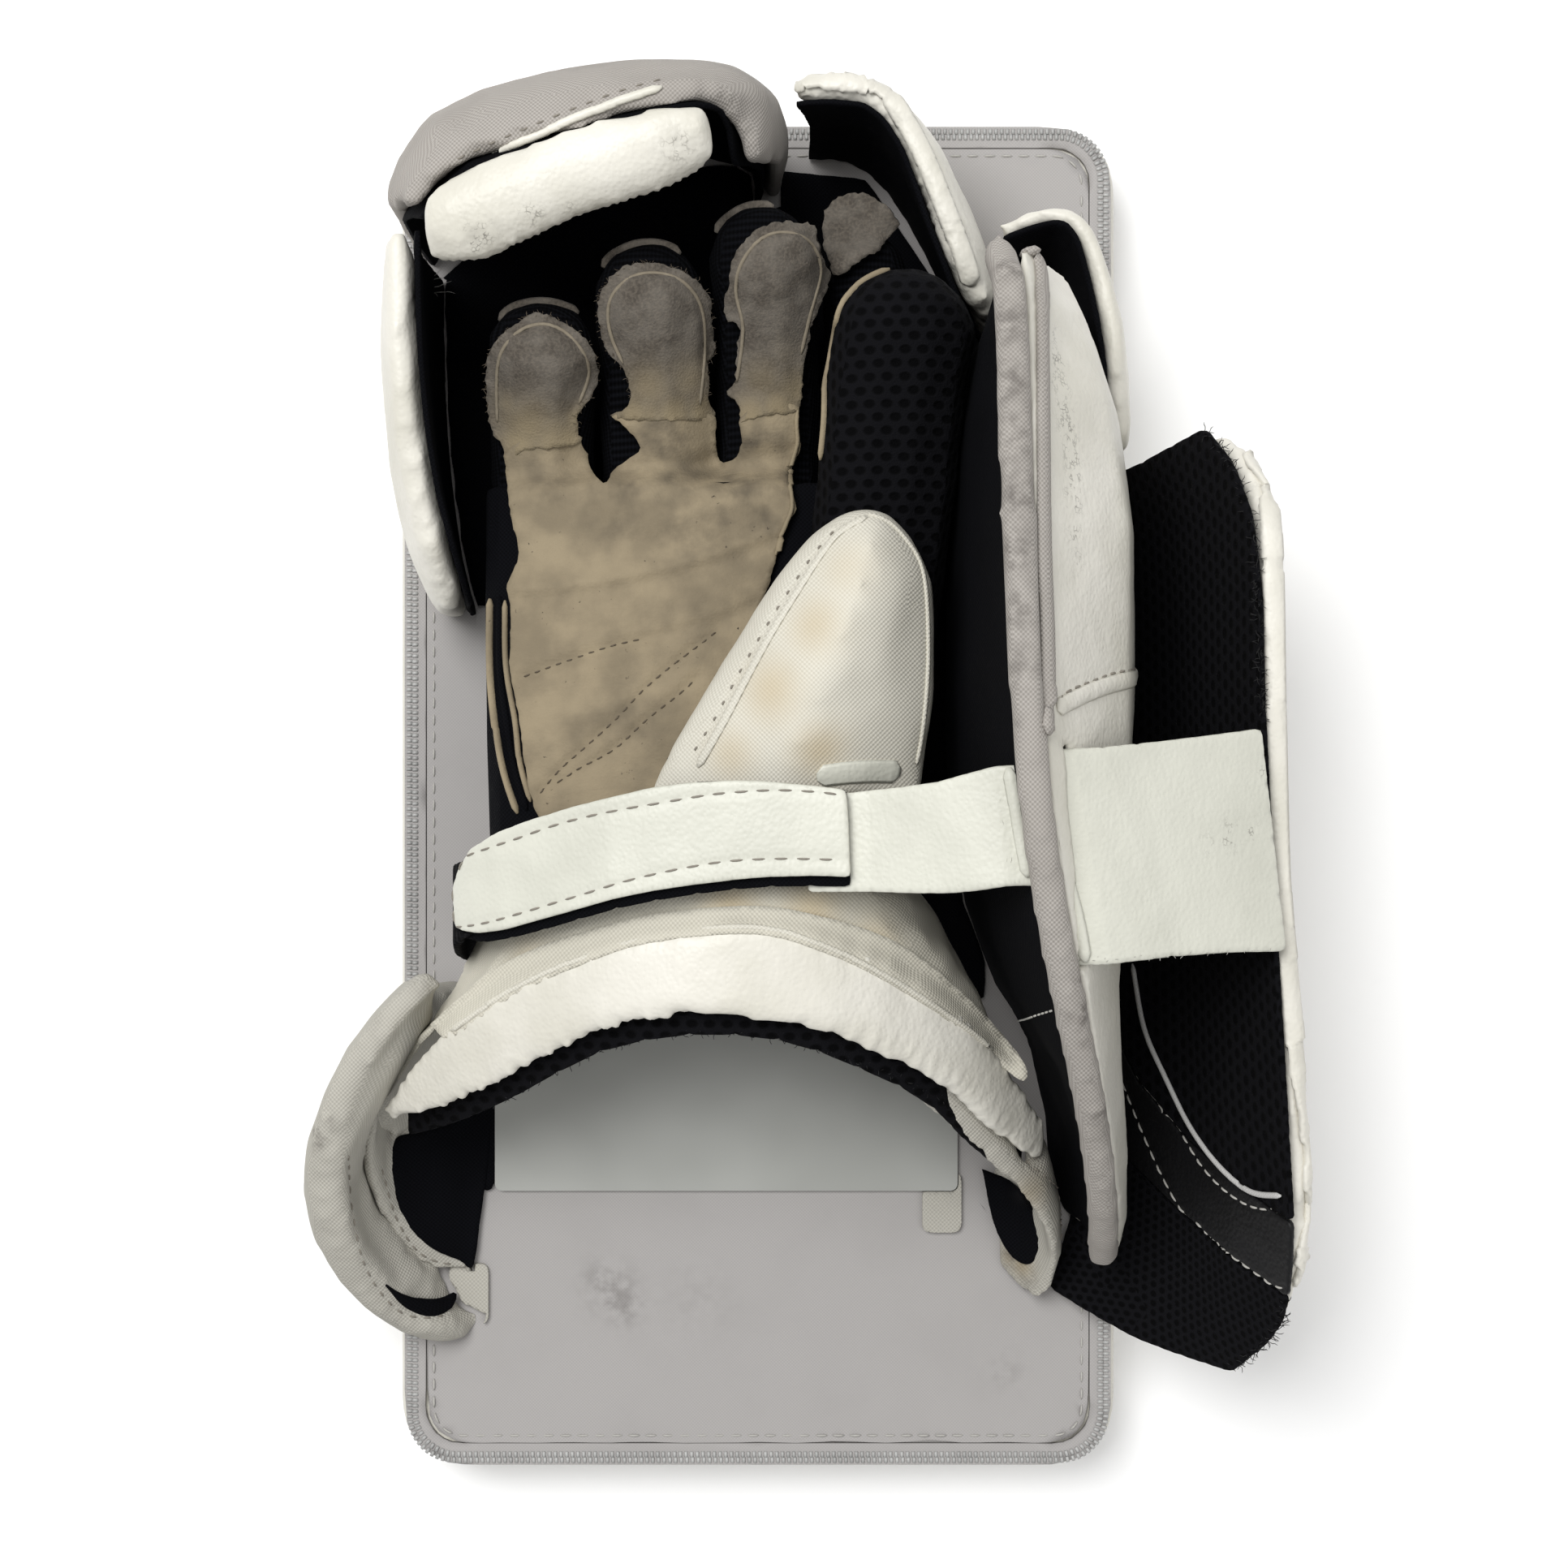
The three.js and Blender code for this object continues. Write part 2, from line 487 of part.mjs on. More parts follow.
// Adds a lining over the part of a wall's inner face that the reach maps out
function addLining(name, face, half, material, steps, restsOn, reach = (u) => u, room = CLEARANCE) {
  const near = offset(face, (u, v) => half(u, v) + room);
  const far = offset(face, (u, v) => half(u, v) + room + LINING);
  const part = (sheet) => (u, v) => sheet(reach(u, v), v);
  addPiece(name, material, quilt(part(near), part(far), ...steps), restsOn);
}
const boxWall = (table) => surface(table, WALL_COLUMNS, FINGER_BOX_HEIGHT);
const LITTLE_WALLS = ["little_side_wall", "little_side_wall_lining"];
addWall("little_side_wall", boxWall(LITTLE_SIDE), WALL_PAD, WHITE_LEATHER, [8, 5], BASE.concat(HAND_PIECES));
addWall("fingertip_hood", boxWall(HOOD), HOOD_PAD, GREY_TWILL, [11, 4], BASE.concat(HAND_PIECES, LITTLE_WALLS));
const LEFT_BOX = LITTLE_WALLS.concat("fingertip_hood", "fingertip_hood_lining");
addWall("index_side_wall", boxWall(INDEX_SIDE), WALL_PAD, WHITE_LEATHER, [10, 4],
  BASE.concat(HAND_PIECES, LEFT_BOX));
const BOX = LEFT_BOX.concat("index_side_wall", "index_side_wall_lining");
addWall("corner_wall", boxWall(CORNER), CORNER_PAD, WHITE_LEATHER, [9, 3], BASE.concat(BOX));

// Side wall past the shield, lined with mesh that ends in a leather band and a coarse mesh bumper
const sideFace = surface(SIDE_WALL, WALL_COLUMNS, SIDE_WALL_HEIGHT);
const sideHalf = padHalf(SIDE_PAD);
const BAND_FOOT = 0.53;
const BAND_CLIMB = 0.19;
const BAND_WIDTH = 0.1;
const BAND_BEND = 0.7;
const SEAM_SHARE = 0.002;
const bandStart = (v) => BAND_FOOT + BAND_CLIMB * v ** BAND_BEND;
const sideSteps = BASE.concat("corner_wall", "corner_wall_lining");
const SIDE_WALL_SEAT = BASE.concat("corner_wall", "corner_wall_lining");
const SIDE_LINING_ROOM = 2.5 * CLEARANCE;
addPiece("side_wall", WHITE_LEATHER, quilt(offset(sideFace, (u, v) => -sideHalf(u, v)),
  offset(sideFace, sideHalf), 13, 4), SIDE_WALL_SEAT);
addLining("side_wall_mesh", sideFace, sideHalf, BLACK_MESH, [8, 4], SIDE_WALL_SEAT,
  (u, v) => u * bandStart(v), SIDE_LINING_ROOM);
addLining("side_wall_band", sideFace, sideHalf, BLACK_LEATHER, [2, 4], SIDE_WALL_SEAT,
  (u, v) => bandStart(v) + SEAM_SHARE + (BAND_WIDTH - SEAM_SHARE) * u, SIDE_LINING_ROOM);
addLining("side_wall_bumper", sideFace, sideHalf, BLACK_MESH, [4, 4], SIDE_WALL_SEAT,
  (u, v) => THREE.MathUtils.lerp(bandStart(v) + BAND_WIDTH + SEAM_SHARE, 1, u), SIDE_LINING_ROOM);
const SIDE_LININGS = ["side_wall_mesh", "side_wall_band", "side_wall_bumper"];

// Bar pad sewn over the fingertips, inside the hood
const BAR = [
  { upper: [-0.81, 0.78, 0.86], lower: [-0.8, 0.72, 0.82] },
  { upper: [-0.74, 0.81, 0.89], lower: [-0.75, 0.7, 0.82] },
  { upper: [-0.45, 0.87, 0.93], lower: [-0.45, 0.76, 0.85] },
  { upper: [-0.16, 0.91, 0.95], lower: [-0.13, 0.82, 0.88] },
  { upper: [-0.11, 0.9, 0.94], lower: [-0.1, 0.84, 0.89] },
];
const BAR_PROUD = 0.6;
const barFace = surface(BAR, ["upper", "lower"], FINGER_BOX_HEIGHT);
const barTop = offset(barFace, (u, v) => -BAR_PAD * BAR_PROUD * (EDGE_SHARE + (1 - EDGE_SHARE) * swell(u, v)));
const barUnder = offset(barFace, BAR_PAD * (1 - BAR_PROUD));
addPiece("fingertip_bar", WHITE_LEATHER, quilt(barTop, barUnder, 6, 3), BOX.concat(HAND_PIECES));

// Shield on the thumb side: a thick pad with a leather outer face, its rim bound with twill
const SHIELD = [
  { outerFoot: [0.83, 0.67, FOOT], outerKnee: [0.82, 0.68, 0.5], outerRim: [0.65, 0.7, 0.8],
    innerFoot: [0.62, 0.65, FOOT], innerKnee: [0.6, 0.66, 0.5], innerRim: [0.58, 0.68, 0.78] },
  { outerFoot: [0.86, 0.58, FOOT], outerKnee: [0.88, 0.61, 0.56], outerRim: [0.65, 0.58, 0.93],
    innerFoot: [0.56, 0.55, FOOT], innerKnee: [0.53, 0.57, 0.55], innerRim: [0.58, 0.58, 0.9] },
  { outerFoot: [0.86, 0.39, FOOT], outerKnee: [0.98, 0.41, 0.57], outerRim: [0.65, 0.38, 1.0],
    innerFoot: [0.54, 0.37, FOOT], innerKnee: [0.5, 0.38, 0.55], innerRim: [0.58, 0.38, 0.96] },
  { outerFoot: [0.86, 0.13, FOOT], outerKnee: [0.99, 0.14, 0.55], outerRim: [0.67, 0.13, 1.01],
    innerFoot: [0.53, 0.11, FOOT], innerKnee: [0.49, 0.11, 0.55], innerRim: [0.6, 0.13, 0.97] },
  { outerFoot: [0.86, -0.08, FOOT], outerKnee: [0.97, -0.08, 0.54], outerRim: [0.71, -0.08, 0.98],
    innerFoot: [0.55, -0.1, FOOT], innerKnee: [0.53, -0.1, 0.52], innerRim: [0.64, -0.09, 0.93] },
  { outerFoot: [0.86, -0.24, FOOT], outerKnee: [0.94, -0.24, 0.5], outerRim: [0.78, -0.22, 0.89],
    innerFoot: [0.64, -0.25, FOOT], innerKnee: [0.62, -0.25, 0.46], innerRim: [0.71, -0.24, 0.82] },
  { outerFoot: [0.86, -0.4, FOOT], outerKnee: [0.95, -0.4, 0.42], outerRim: [0.85, -0.39, 0.72],
    innerFoot: [0.76, -0.38, FOOT], innerKnee: [0.79, -0.39, 0.37], innerRim: [0.8, -0.4, 0.66] },
  { outerFoot: [0.86, -0.54, FOOT], outerKnee: [0.98, -0.56, 0.28], outerRim: [0.92, -0.54, 0.5],
    innerFoot: [0.79, -0.52, FOOT], innerKnee: [0.87, -0.55, 0.24], innerRim: [0.87, -0.56, 0.44] },
  { outerFoot: [0.86, -0.61, FOOT], outerKnee: [0.97, -0.64, 0.15], outerRim: [0.95, -0.64, 0.28],
    innerFoot: [0.8, -0.59, FOOT], innerKnee: [0.9, -0.63, 0.13], innerRim: [0.91, -0.64, 0.25] },
];
const SHIELD_RIM = [
  { middle: [0.585, 0.7, 0.78] }, { middle: [0.6, 0.63, 0.92] }, { middle: [0.605, 0.4, 1.01] },
  { middle: [0.625, 0.13, 1.03] }, { middle: [0.665, -0.07, 1.0] }, { middle: [0.74, -0.25, 0.89] },
  { middle: [0.82, -0.41, 0.72] }, { middle: [0.88, -0.55, 0.5] }, { middle: [0.92, -0.65, 0.24] },
];
const shieldRim = SHIELD_RIM.map((row) => spot(row.middle, SHIELD_HEIGHT));
addPiece("shield_binding", GREY_TWILL, roll(shieldRim, BINDING_ROUND, 16), BASE);

// Strap from the wrist through a slot under the shield's binding to the side wall
const TIE = [
  { north: [0.13, 0, 0.81], south: [0.13, -0.12, 0.81] },
  { north: [0.27, 0.01, 0.83], south: [0.28, -0.12, 0.83] },
  { north: [0.43, 0.02, 0.89], south: [0.46, -0.12, 0.89] },
  { north: [0.56, 0.04, 0.93], south: [0.59, -0.11, 0.93] },
  { north: [0.64, 0.04, 0.94], south: [0.67, -0.11, 0.93] },
];
const WIDE = [
  { north: [0.65, 0.06, 0.94], south: [0.72, -0.21, 0.88] },
  { north: [0.72, 0.06, 0.95], south: [0.82, -0.21, 0.9] },
  { north: [0.94, 0.07, 0.85], south: [1.02, -0.2, 0.83] },
  { north: [1.24, 0.09, 0.69], south: [1.3, -0.2, 0.69] },
];
const EDGES = ["north", "south"];
const SIDE = BASE.concat("side_wall", SIDE_LININGS, "corner_wall", "corner_wall_lining");
const tieFace = surface(TIE, EDGES, SHIELD_HEIGHT);
const wideFace = surface(WIDE, EDGES, SHIELD_HEIGHT);
addPiece("tie_strap", WHITE_LEATHER, quilt(offset(tieFace, STRAP), tieFace, 8, 1), ["shield_binding"]);
addPiece("wide_strap", WHITE_LEATHER, quilt(offset(wideFace, STRAP), wideFace, 8, 1),
  SIDE.concat("shield_binding", "tie_strap"));

const outerFace = surface(SHIELD, ["outerFoot", "outerKnee", "outerRim"], SHIELD_HEIGHT);
const innerFace = surface(SHIELD, ["innerFoot", "innerKnee", "innerRim"], SHIELD_HEIGHT);
const STRAPS = ["shield_binding", "tie_strap", "wide_strap"];
const underLeather = offset(outerFace, SHIELD_LEATHER + CLEARANCE);
addPiece("shield_leather", WHITE_LEATHER, quilt(outerFace, offset(outerFace, SHIELD_LEATHER), 11, 3),
  SIDE.concat(STRAPS, BOX));
addPiece("shield_pad", BLACK_NYLON, quilt(underLeather, innerFace, 11, 3),
  SIDE.concat(STRAPS, BOX, HAND_PIECES));
const SHIELD_PIECES = STRAPS.concat("shield_leather", "shield_pad");

// Dark sheet on the board's back, under the hand and inside the walls
const BOX_BASE = [
  [-0.81, 0.28], [-0.87, 0.5], [-0.88, 0.76], [-0.58, 0.9], [-0.1, 0.93], [0.3, 0.91],
  [0.5, 0.75], [0.59, 0.6], [0.63, 0.4], [0.63, -0.3], [0.4, -0.34], [0.4, 0.28],
];
const boxBase = new THREE.Shape(BOX_BASE.map(([x, y]) => new THREE.Vector2(x * HALF_WIDTH, y * HALF_LENGTH)));
addPiece("box_base", BLACK_NYLON, slab(boxBase, DECK, LINING), BASE.concat(BOX, HAND_PIECES, SHIELD_PIECES));

// Teardrop guard pad over the base of the thumb
const GUARD = [
  { left: [-0.28, 0, 1.18], middle: [0.07, 0, 1.46], right: [0.42, 0, 1.26] },
  { left: [-0.15, 0.12, 1.24], middle: [0.14, 0.12, 1.6], right: [0.44, 0.12, 1.34] },
  { left: [-0.02, 0.23, 1.28], middle: [0.22, 0.22, 1.64], right: [0.45, 0.22, 1.38] },
  { left: [0.08, 0.31, 1.32], middle: [0.27, 0.3, 1.62], right: [0.43, 0.3, 1.4] },
  { left: [0.17, 0.36, 1.36], middle: [0.29, 0.35, 1.54], right: [0.39, 0.34, 1.4] },
  { left: [0.24, 0.38, 1.38], middle: [0.3, 0.38, 1.42], right: [0.34, 0.37, 1.38] },
];
const GUARD_COLUMNS = ["left", "middle", "right"];
const GUARD_EDGE_SHARE = 0.4;
const guardFace = surface(GUARD, GUARD_COLUMNS, HAND_HEIGHT);
const guardDepth = (u, v) => GUARD_PAD * (GUARD_EDGE_SHARE + (1 - GUARD_EDGE_SHARE) * swell(u, v));
addPiece("thumb_guard", CREAM_NYLON, quilt(guardFace, lowered(guardFace, guardDepth), 7, 4),
  HAND_PIECES.concat(SHIELD_PIECES));

// Wrist strap over the heel of the hand, its hook backing and the webbing that holds its end
const WRIST = [
  { north: [-0.76, -0.12, 1.16], south: [-0.755, -0.175, 1.16] },
  { north: [-0.71, -0.07, 1.28], south: [-0.69, -0.18, 1.28] },
  { north: [-0.55, -0.03, 1.46], south: [-0.53, -0.16, 1.46] },
  { north: [-0.35, 0, 1.6], south: [-0.34, -0.13, 1.6] },
  { north: [-0.15, 0.02, 1.67], south: [-0.14, -0.11, 1.67] },
  { north: [0.04, 0.02, 1.71], south: [0.04, -0.1, 1.71] },
  { north: [0.22, 0.01, 1.73], south: [0.23, -0.1, 1.73] },
];
const BACKING_PROUD = -0.013;
const BACKING = WRIST.map(({ north, south }) => ({ north, south: [south[0], south[1] + BACKING_PROUD, south[2]] }));
const wristFace = surface(WRIST, EDGES, HAND_HEIGHT);
const backingFace = surface(BACKING, EDGES, HAND_HEIGHT);
const strapUnder = SHIELD_PIECES.concat("thumb_guard");
addPiece("wrist_strap", WHITE_LEATHER, quilt(offset(wristFace, STRAP), wristFace, 12, 2), strapUnder);
addPiece("strap_backing", BLACK_NYLON,
  quilt(offset(backingFace, STRAP + CLEARANCE), offset(backingFace, STRAP + CLEARANCE + STRAP_BACKING), 12, 1),
  strapUnder);
const LOOP_STRAP = [
  { north: [-0.71, -0.08, 1.24], south: [-0.7, -0.18, 1.24] },
  { north: [-0.76, -0.09, 1.1], south: [-0.76, -0.2, 1.1] },
  { north: [-0.77, -0.1, 0.6], south: [-0.77, -0.23, 0.6] },
  { north: [-0.77, -0.1, FOOT], south: [-0.77, -0.24, FOOT] },
];
const loopFace = surface(LOOP_STRAP, EDGES, HAND_HEIGHT);
addPiece("strap_loop", BLACK_NYLON, quilt(loopFace, offset(loopFace, -WEBBING), 6, 1),
  BASE.concat("wrist_strap", "strap_backing", "hand_back", "palm_panel"));
const STRAP_PIECES = ["wrist_strap", "strap_backing", "strap_loop", "thumb_guard"];

// Cuff: a padded arch over the wrist, a gusset down to the palm, and rolls down to the board
const CUFF = [
  { north: [-0.98, -0.43, 0.39], south: [-0.98, -0.46, 0.37] },
  { north: [-0.85, -0.34, 0.57], south: [-0.82, -0.43, 0.55] },
  { north: [-0.67, -0.27, 0.73], south: [-0.63, -0.38, 0.71] },
  { north: [-0.46, -0.21, 0.86], south: [-0.44, -0.32, 0.84] },
  { north: [-0.25, -0.175, 0.94], south: [-0.25, -0.29, 0.93] },
  { north: [-0.05, -0.16, 0.98], south: [-0.05, -0.285, 0.97] },
  { north: [0.14, -0.17, 0.96], south: [0.14, -0.3, 0.95] },
  { north: [0.34, -0.22, 0.87], south: [0.32, -0.34, 0.86] },
  { north: [0.51, -0.28, 0.74], south: [0.49, -0.39, 0.73] },
  { north: [0.66, -0.37, 0.56], south: [0.64, -0.47, 0.55] },
  { north: [0.77, -0.47, 0.38], south: [0.76, -0.52, 0.37] },
];
const LINING_PROUD = 0.025;
const CUFF_INSIDE = CUFF.map(({ north, south }) => ({ north, south: [south[0], south[1] - LINING_PROUD, south[2]] }));
const GUSSET_SHAPE = [
  { palm: [-0.7, -0.16, 0.3], ridge: [-0.75, -0.25, 0.42], cuff: [-0.95, -0.4, 0.36] },
  { palm: [-0.66, -0.13, 0.55], ridge: [-0.66, -0.22, 0.62], cuff: [-0.83, -0.32, 0.51] },
  { palm: [-0.48, -0.09, 0.68], ridge: [-0.51, -0.17, 0.76], cuff: [-0.64, -0.25, 0.67] },
  { palm: [-0.28, -0.07, 0.7], ridge: [-0.3, -0.14, 0.85], cuff: [-0.44, -0.19, 0.8] },
  { palm: [-0.1, -0.06, 0.7], ridge: [-0.1, -0.125, 0.9], cuff: [-0.1, -0.155, 0.91] },
  { palm: [0.08, -0.06, 0.7], ridge: [0.1, -0.12, 0.9], cuff: [0.14, -0.16, 0.89] },
  { palm: [0.24, -0.08, 0.67], ridge: [0.28, -0.13, 0.83], cuff: [0.34, -0.21, 0.8] },
  { palm: [0.36, -0.11, 0.5], ridge: [0.41, -0.15, 0.65], cuff: [0.5, -0.27, 0.67] },
  { palm: [0.4, -0.14, 0.28], ridge: [0.47, -0.19, 0.45], cuff: [0.64, -0.36, 0.5] },
];
const CUFF_ROUND = HAND_PIECES.concat(SHIELD_PIECES, STRAP_PIECES, BASE);
const cuffFace = surface(CUFF, EDGES, CUFF_HEIGHT);
const cuffInside = surface(CUFF_INSIDE, EDGES, CUFF_HEIGHT);
const cuffUnder = (u, v) => CUFF_PAD * (EDGE_SHARE + (1 - EDGE_SHARE) * swell(u, v));
addPiece("cuff_pad", WHITE_LEATHER, quilt(cuffFace, offset(cuffFace, cuffUnder), 16, 3), CUFF_ROUND);
addPiece("cuff_lining", BLACK_MESH,
  quilt(offset(cuffInside, CUFF_PAD + 2 * CLEARANCE), offset(cuffInside, CUFF_PAD + 2 * CLEARANCE + LINING), 16, 1),
  CUFF_ROUND);
const gussetFace = surface(GUSSET_SHAPE, ["palm", "ridge", "cuff"], CUFF_HEIGHT);
addPiece("cuff_gusset", CREAM_NYLON, quilt(gussetFace, offset(gussetFace, -GUSSET), 12, 4),
  CUFF_ROUND.concat("cuff_pad", "cuff_lining"));
const CUFF_PIECES = ["cuff_pad", "cuff_lining", "cuff_gusset"];

const LEFT_INNER_ROLL = [
  { north: [-0.98, -0.42, 0.36], south: [-0.99, -0.47, 0.36] },
  { north: [-1.01, -0.42, 0.25], south: [-1.01, -0.53, 0.3] },
  { north: [-0.99, -0.42, 0.14], south: [-0.99, -0.62, 0.18] },
  { north: [-0.9, -0.43, 0.07], south: [-0.91, -0.69, 0.08] },
  { north: [-0.79, -0.45, 0.03], south: [-0.78, -0.7, 0.03] },
];
const RIGHT_ROLL = [
  { north: [0.36, -0.31, 0.71], south: [0.36, -0.39, 0.68] },
  { north: [0.54, -0.37, 0.54], south: [0.56, -0.49, 0.5] },
  { north: [0.69, -0.44, 0.38], south: [0.73, -0.59, 0.34] },
  { north: [0.75, -0.5, 0.2], south: [0.8, -0.69, 0.18] },
  { north: [0.72, -0.53, 0.09], south: [0.76, -0.74, 0.08] },
  { north: [0.63, -0.54, 0.03], south: [0.66, -0.7, 0.03] },
];
const LEFT_OUTER_ROLL = [
  { foot: [-0.79, -0.27, FOOT], knee: [-0.87, -0.27, 0.28], rim: [-0.8, -0.25, 0.57] },
  { foot: [-0.85, -0.34, FOOT], knee: [-0.97, -0.35, 0.26], rim: [-0.89, -0.29, 0.61] },
  { foot: [-0.91, -0.44, FOOT], knee: [-1.08, -0.46, 0.26], rim: [-1.03, -0.39, 0.61] },
  { foot: [-0.92, -0.57, FOOT], knee: [-1.12, -0.58, 0.24], rim: [-1.12, -0.51, 0.55] },
  { foot: [-0.89, -0.67, FOOT], knee: [-1.06, -0.69, 0.18], rim: [-1.08, -0.63, 0.41] },
  { foot: [-0.83, -0.76, FOOT], knee: [-0.91, -0.77, 0.1], rim: [-0.97, -0.73, 0.22] },
  { foot: [-0.76, -0.77, FOOT], knee: [-0.78, -0.79, 0.04], rim: [-0.84, -0.76, 0.08] },
];
const outerRoll = surface(LEFT_OUTER_ROLL, WALL_COLUMNS, CUFF_HEIGHT);
const rollHalf = padHalf(ROLL_PAD);
const CUFF_SEAT = BASE.concat(CUFF_PIECES, HAND_PIECES, STRAP_PIECES, SHIELD_PIECES);
const innerRoll = surface(LEFT_INNER_ROLL, EDGES, CUFF_HEIGHT);
addPiece("cuff_roll_inner", CREAM_NYLON, quilt(innerRoll, offset(innerRoll, padHalf(2 * LOOP_PAD)), 10, 3), CUFF_SEAT);
addPiece("cuff_roll_outer", WHITE_NYLON,
  quilt(offset(outerRoll, rollHalf), offset(outerRoll, (u, v) => -rollHalf(u, v)), 12, 4),
  CUFF_SEAT.concat("cuff_roll_inner"));
// Fabric tabs that sew the rolls to the board's back
const TABS = [
  { name: "tab_little_side", middle: [-0.8, -0.735] },
  { name: "tab_thumb_side", middle: [0.51, -0.6] },
];
const tabShape = roundedRectangle(TAB_WIDTH, TAB_LENGTH, PLATE_CORNER);
for (const { name, middle } of TABS) {
  const tab = slab(tabShape, DECK, LEATHER, 0, 2);
  tab.translate(middle[0] * HALF_WIDTH, middle[1] * HALF_LENGTH, 0);
  addPiece(name, WHITE_NYLON, tab, CUFF_SEAT.concat("cuff_roll_inner", "cuff_roll_outer"));
}
CUFF_SEAT.push(...TABS.map(({ name }) => name));
const rightRoll = surface(RIGHT_ROLL, EDGES, CUFF_HEIGHT);
addPiece("cuff_roll_thumb_side", CREAM_NYLON,
  quilt(rightRoll, offset(rightRoll, (u, v) => -padHalf(2 * LOOP_PAD)(u, v)), 10, 3), CUFF_SEAT);

export default blocker;
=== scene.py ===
# %% [markdown]
# # Dressing a goalie's blocker
# A blocker is the flat board that a goalkeeper wears on the stick hand, with a glove, padded walls
# and a wrist cuff sewn to its back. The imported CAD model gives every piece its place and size.
# This lesson turns those plain solids into leather, nylon, mesh and suede, one step at a time.
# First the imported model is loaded. It never moves, and everything new is fitted over it.

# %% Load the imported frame
import json
import math
import random

import bmesh
import bpy
import numpy as np
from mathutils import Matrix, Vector, geometry, noise
from mathutils.bvhtree import BVHTree

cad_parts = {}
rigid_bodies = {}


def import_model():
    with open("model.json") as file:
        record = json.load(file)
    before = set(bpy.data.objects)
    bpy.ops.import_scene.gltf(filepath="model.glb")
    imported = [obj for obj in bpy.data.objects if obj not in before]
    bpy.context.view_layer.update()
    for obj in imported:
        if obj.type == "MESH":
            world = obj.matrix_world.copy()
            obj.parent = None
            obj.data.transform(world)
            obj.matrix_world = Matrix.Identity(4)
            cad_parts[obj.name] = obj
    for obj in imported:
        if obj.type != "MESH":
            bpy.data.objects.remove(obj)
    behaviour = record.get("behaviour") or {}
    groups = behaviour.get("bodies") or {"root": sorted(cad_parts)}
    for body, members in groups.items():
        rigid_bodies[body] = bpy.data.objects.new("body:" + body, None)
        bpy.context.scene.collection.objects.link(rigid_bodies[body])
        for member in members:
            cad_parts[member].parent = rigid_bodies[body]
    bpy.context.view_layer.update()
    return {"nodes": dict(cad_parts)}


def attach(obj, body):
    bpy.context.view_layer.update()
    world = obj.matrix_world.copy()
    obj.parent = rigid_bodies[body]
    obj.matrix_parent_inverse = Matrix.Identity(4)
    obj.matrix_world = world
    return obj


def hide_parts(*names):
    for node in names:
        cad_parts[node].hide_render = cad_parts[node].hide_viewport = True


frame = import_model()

MM = 0.001

# %% [markdown]
# ## Camera
# The photograph looks straight down on the palm from about 0.73 m. A camera needs its place, the
# way it looks and its lens. The lens follows from the picture: so many pixels of focal length for
# so many pixels of picture is the same share of a 36 mm sensor. The same numbers turn a pixel of
# the photograph into a line of sight, which is how seams and stains find their place later on.

# %% Camera over the palm
PHOTO_SIDE = 1932
PHOTO_MIDDLE = PHOTO_SIDE / 2
FOCAL_PIXELS = 3066
SENSOR = 36
EYE = Vector((7.4, 3.3, 728)) * MM

lens = bpy.data.cameras.new("photo_lens")
lens.sensor_width = SENSOR
lens.lens = FOCAL_PIXELS / PHOTO_SIDE * SENSOR
lens.clip_start = 0.01
camera = bpy.data.objects.new("photo_camera", lens)
camera.location = EYE
bpy.context.scene.collection.objects.link(camera)
bpy.context.scene.camera = camera
print("lens in mm:", round(lens.lens, 1))


def sight(across, down):
    """Line of sight through a pixel of the photograph."""
    return Vector(((across - PHOTO_MIDDLE) / FOCAL_PIXELS, (PHOTO_MIDDLE - down) / FOCAL_PIXELS,
        -1)).normalized()


# %% [markdown]
# ## Floor and light
# The real one lies on white under soft light from all sides, so its shadows are faint and its
# whites are nearly the page's white. A pale sky does most of that work. One large lamp over the
# left shoulder gives the pads their roundness, and a weaker one lifts the other side.

# %% Floor and studio lamps
LIMIT = 3.0
floor_mesh = bpy.data.meshes.new("floor")
floor_mesh.from_pydata([(-LIMIT, -LIMIT, 0), (LIMIT, -LIMIT, 0), (LIMIT, LIMIT, 0), (-LIMIT, LIMIT, 0)],
    [], [(0, 1, 2, 3)])
floor = bpy.data.objects.new("floor", floor_mesh)
floor.location.z = -0.3 * MM
bpy.context.scene.collection.objects.link(floor)

sky = bpy.data.worlds.new("studio")
bpy.context.scene.world = sky
sky.use_nodes = True
sky.node_tree.nodes["Background"].inputs["Color"].default_value = (1, 1, 1, 1)
sky.node_tree.nodes["Background"].inputs["Strength"].default_value = 0.5
bpy.context.scene.view_settings.view_transform = "Standard"

LAMPS = {
    # name: (place in metres, side in metres, watts)
    "lamp_over_left": ((-0.4, 0.45, 1.3), 0.7, 16),
    "lamp_over_right": ((0.8, -0.2, 1.1), 1.0, 3),
}
for name, (place, side, watts) in LAMPS.items():
    lamp = bpy.data.lights.new(name, "AREA")
    lamp.size = side
    lamp.energy = watts
    holder = bpy.data.objects.new(name, lamp)
    holder.location = place
    holder.rotation_mode = "QUATERNION"
    holder.rotation_quaternion = (Vector((0, 0, 0.05)) - Vector(place)).to_track_quat("-Z", "Y")
    bpy.context.scene.collection.objects.link(holder)

# %% [markdown]
# ## Tools for materials
# A material here is a small network of nodes. Every node is added the same way, so one function
# does it: what kind of node, its settings, and what feeds each of its inputs. Colours are given
# as the hex values of a paint chart and are turned to the linear light that the renderer adds up.

# %% Colours and nodes


def paint(code):
    """Linear colour of an sRGB hex value."""
    shares = [int(code[i : i + 2], 16) / 255 for i in (1, 3, 5)]
    return [s / 12.92 if s <= 0.04045 else ((s + 0.055) / 1.055) ** 2.4 for s in shares] + [1]


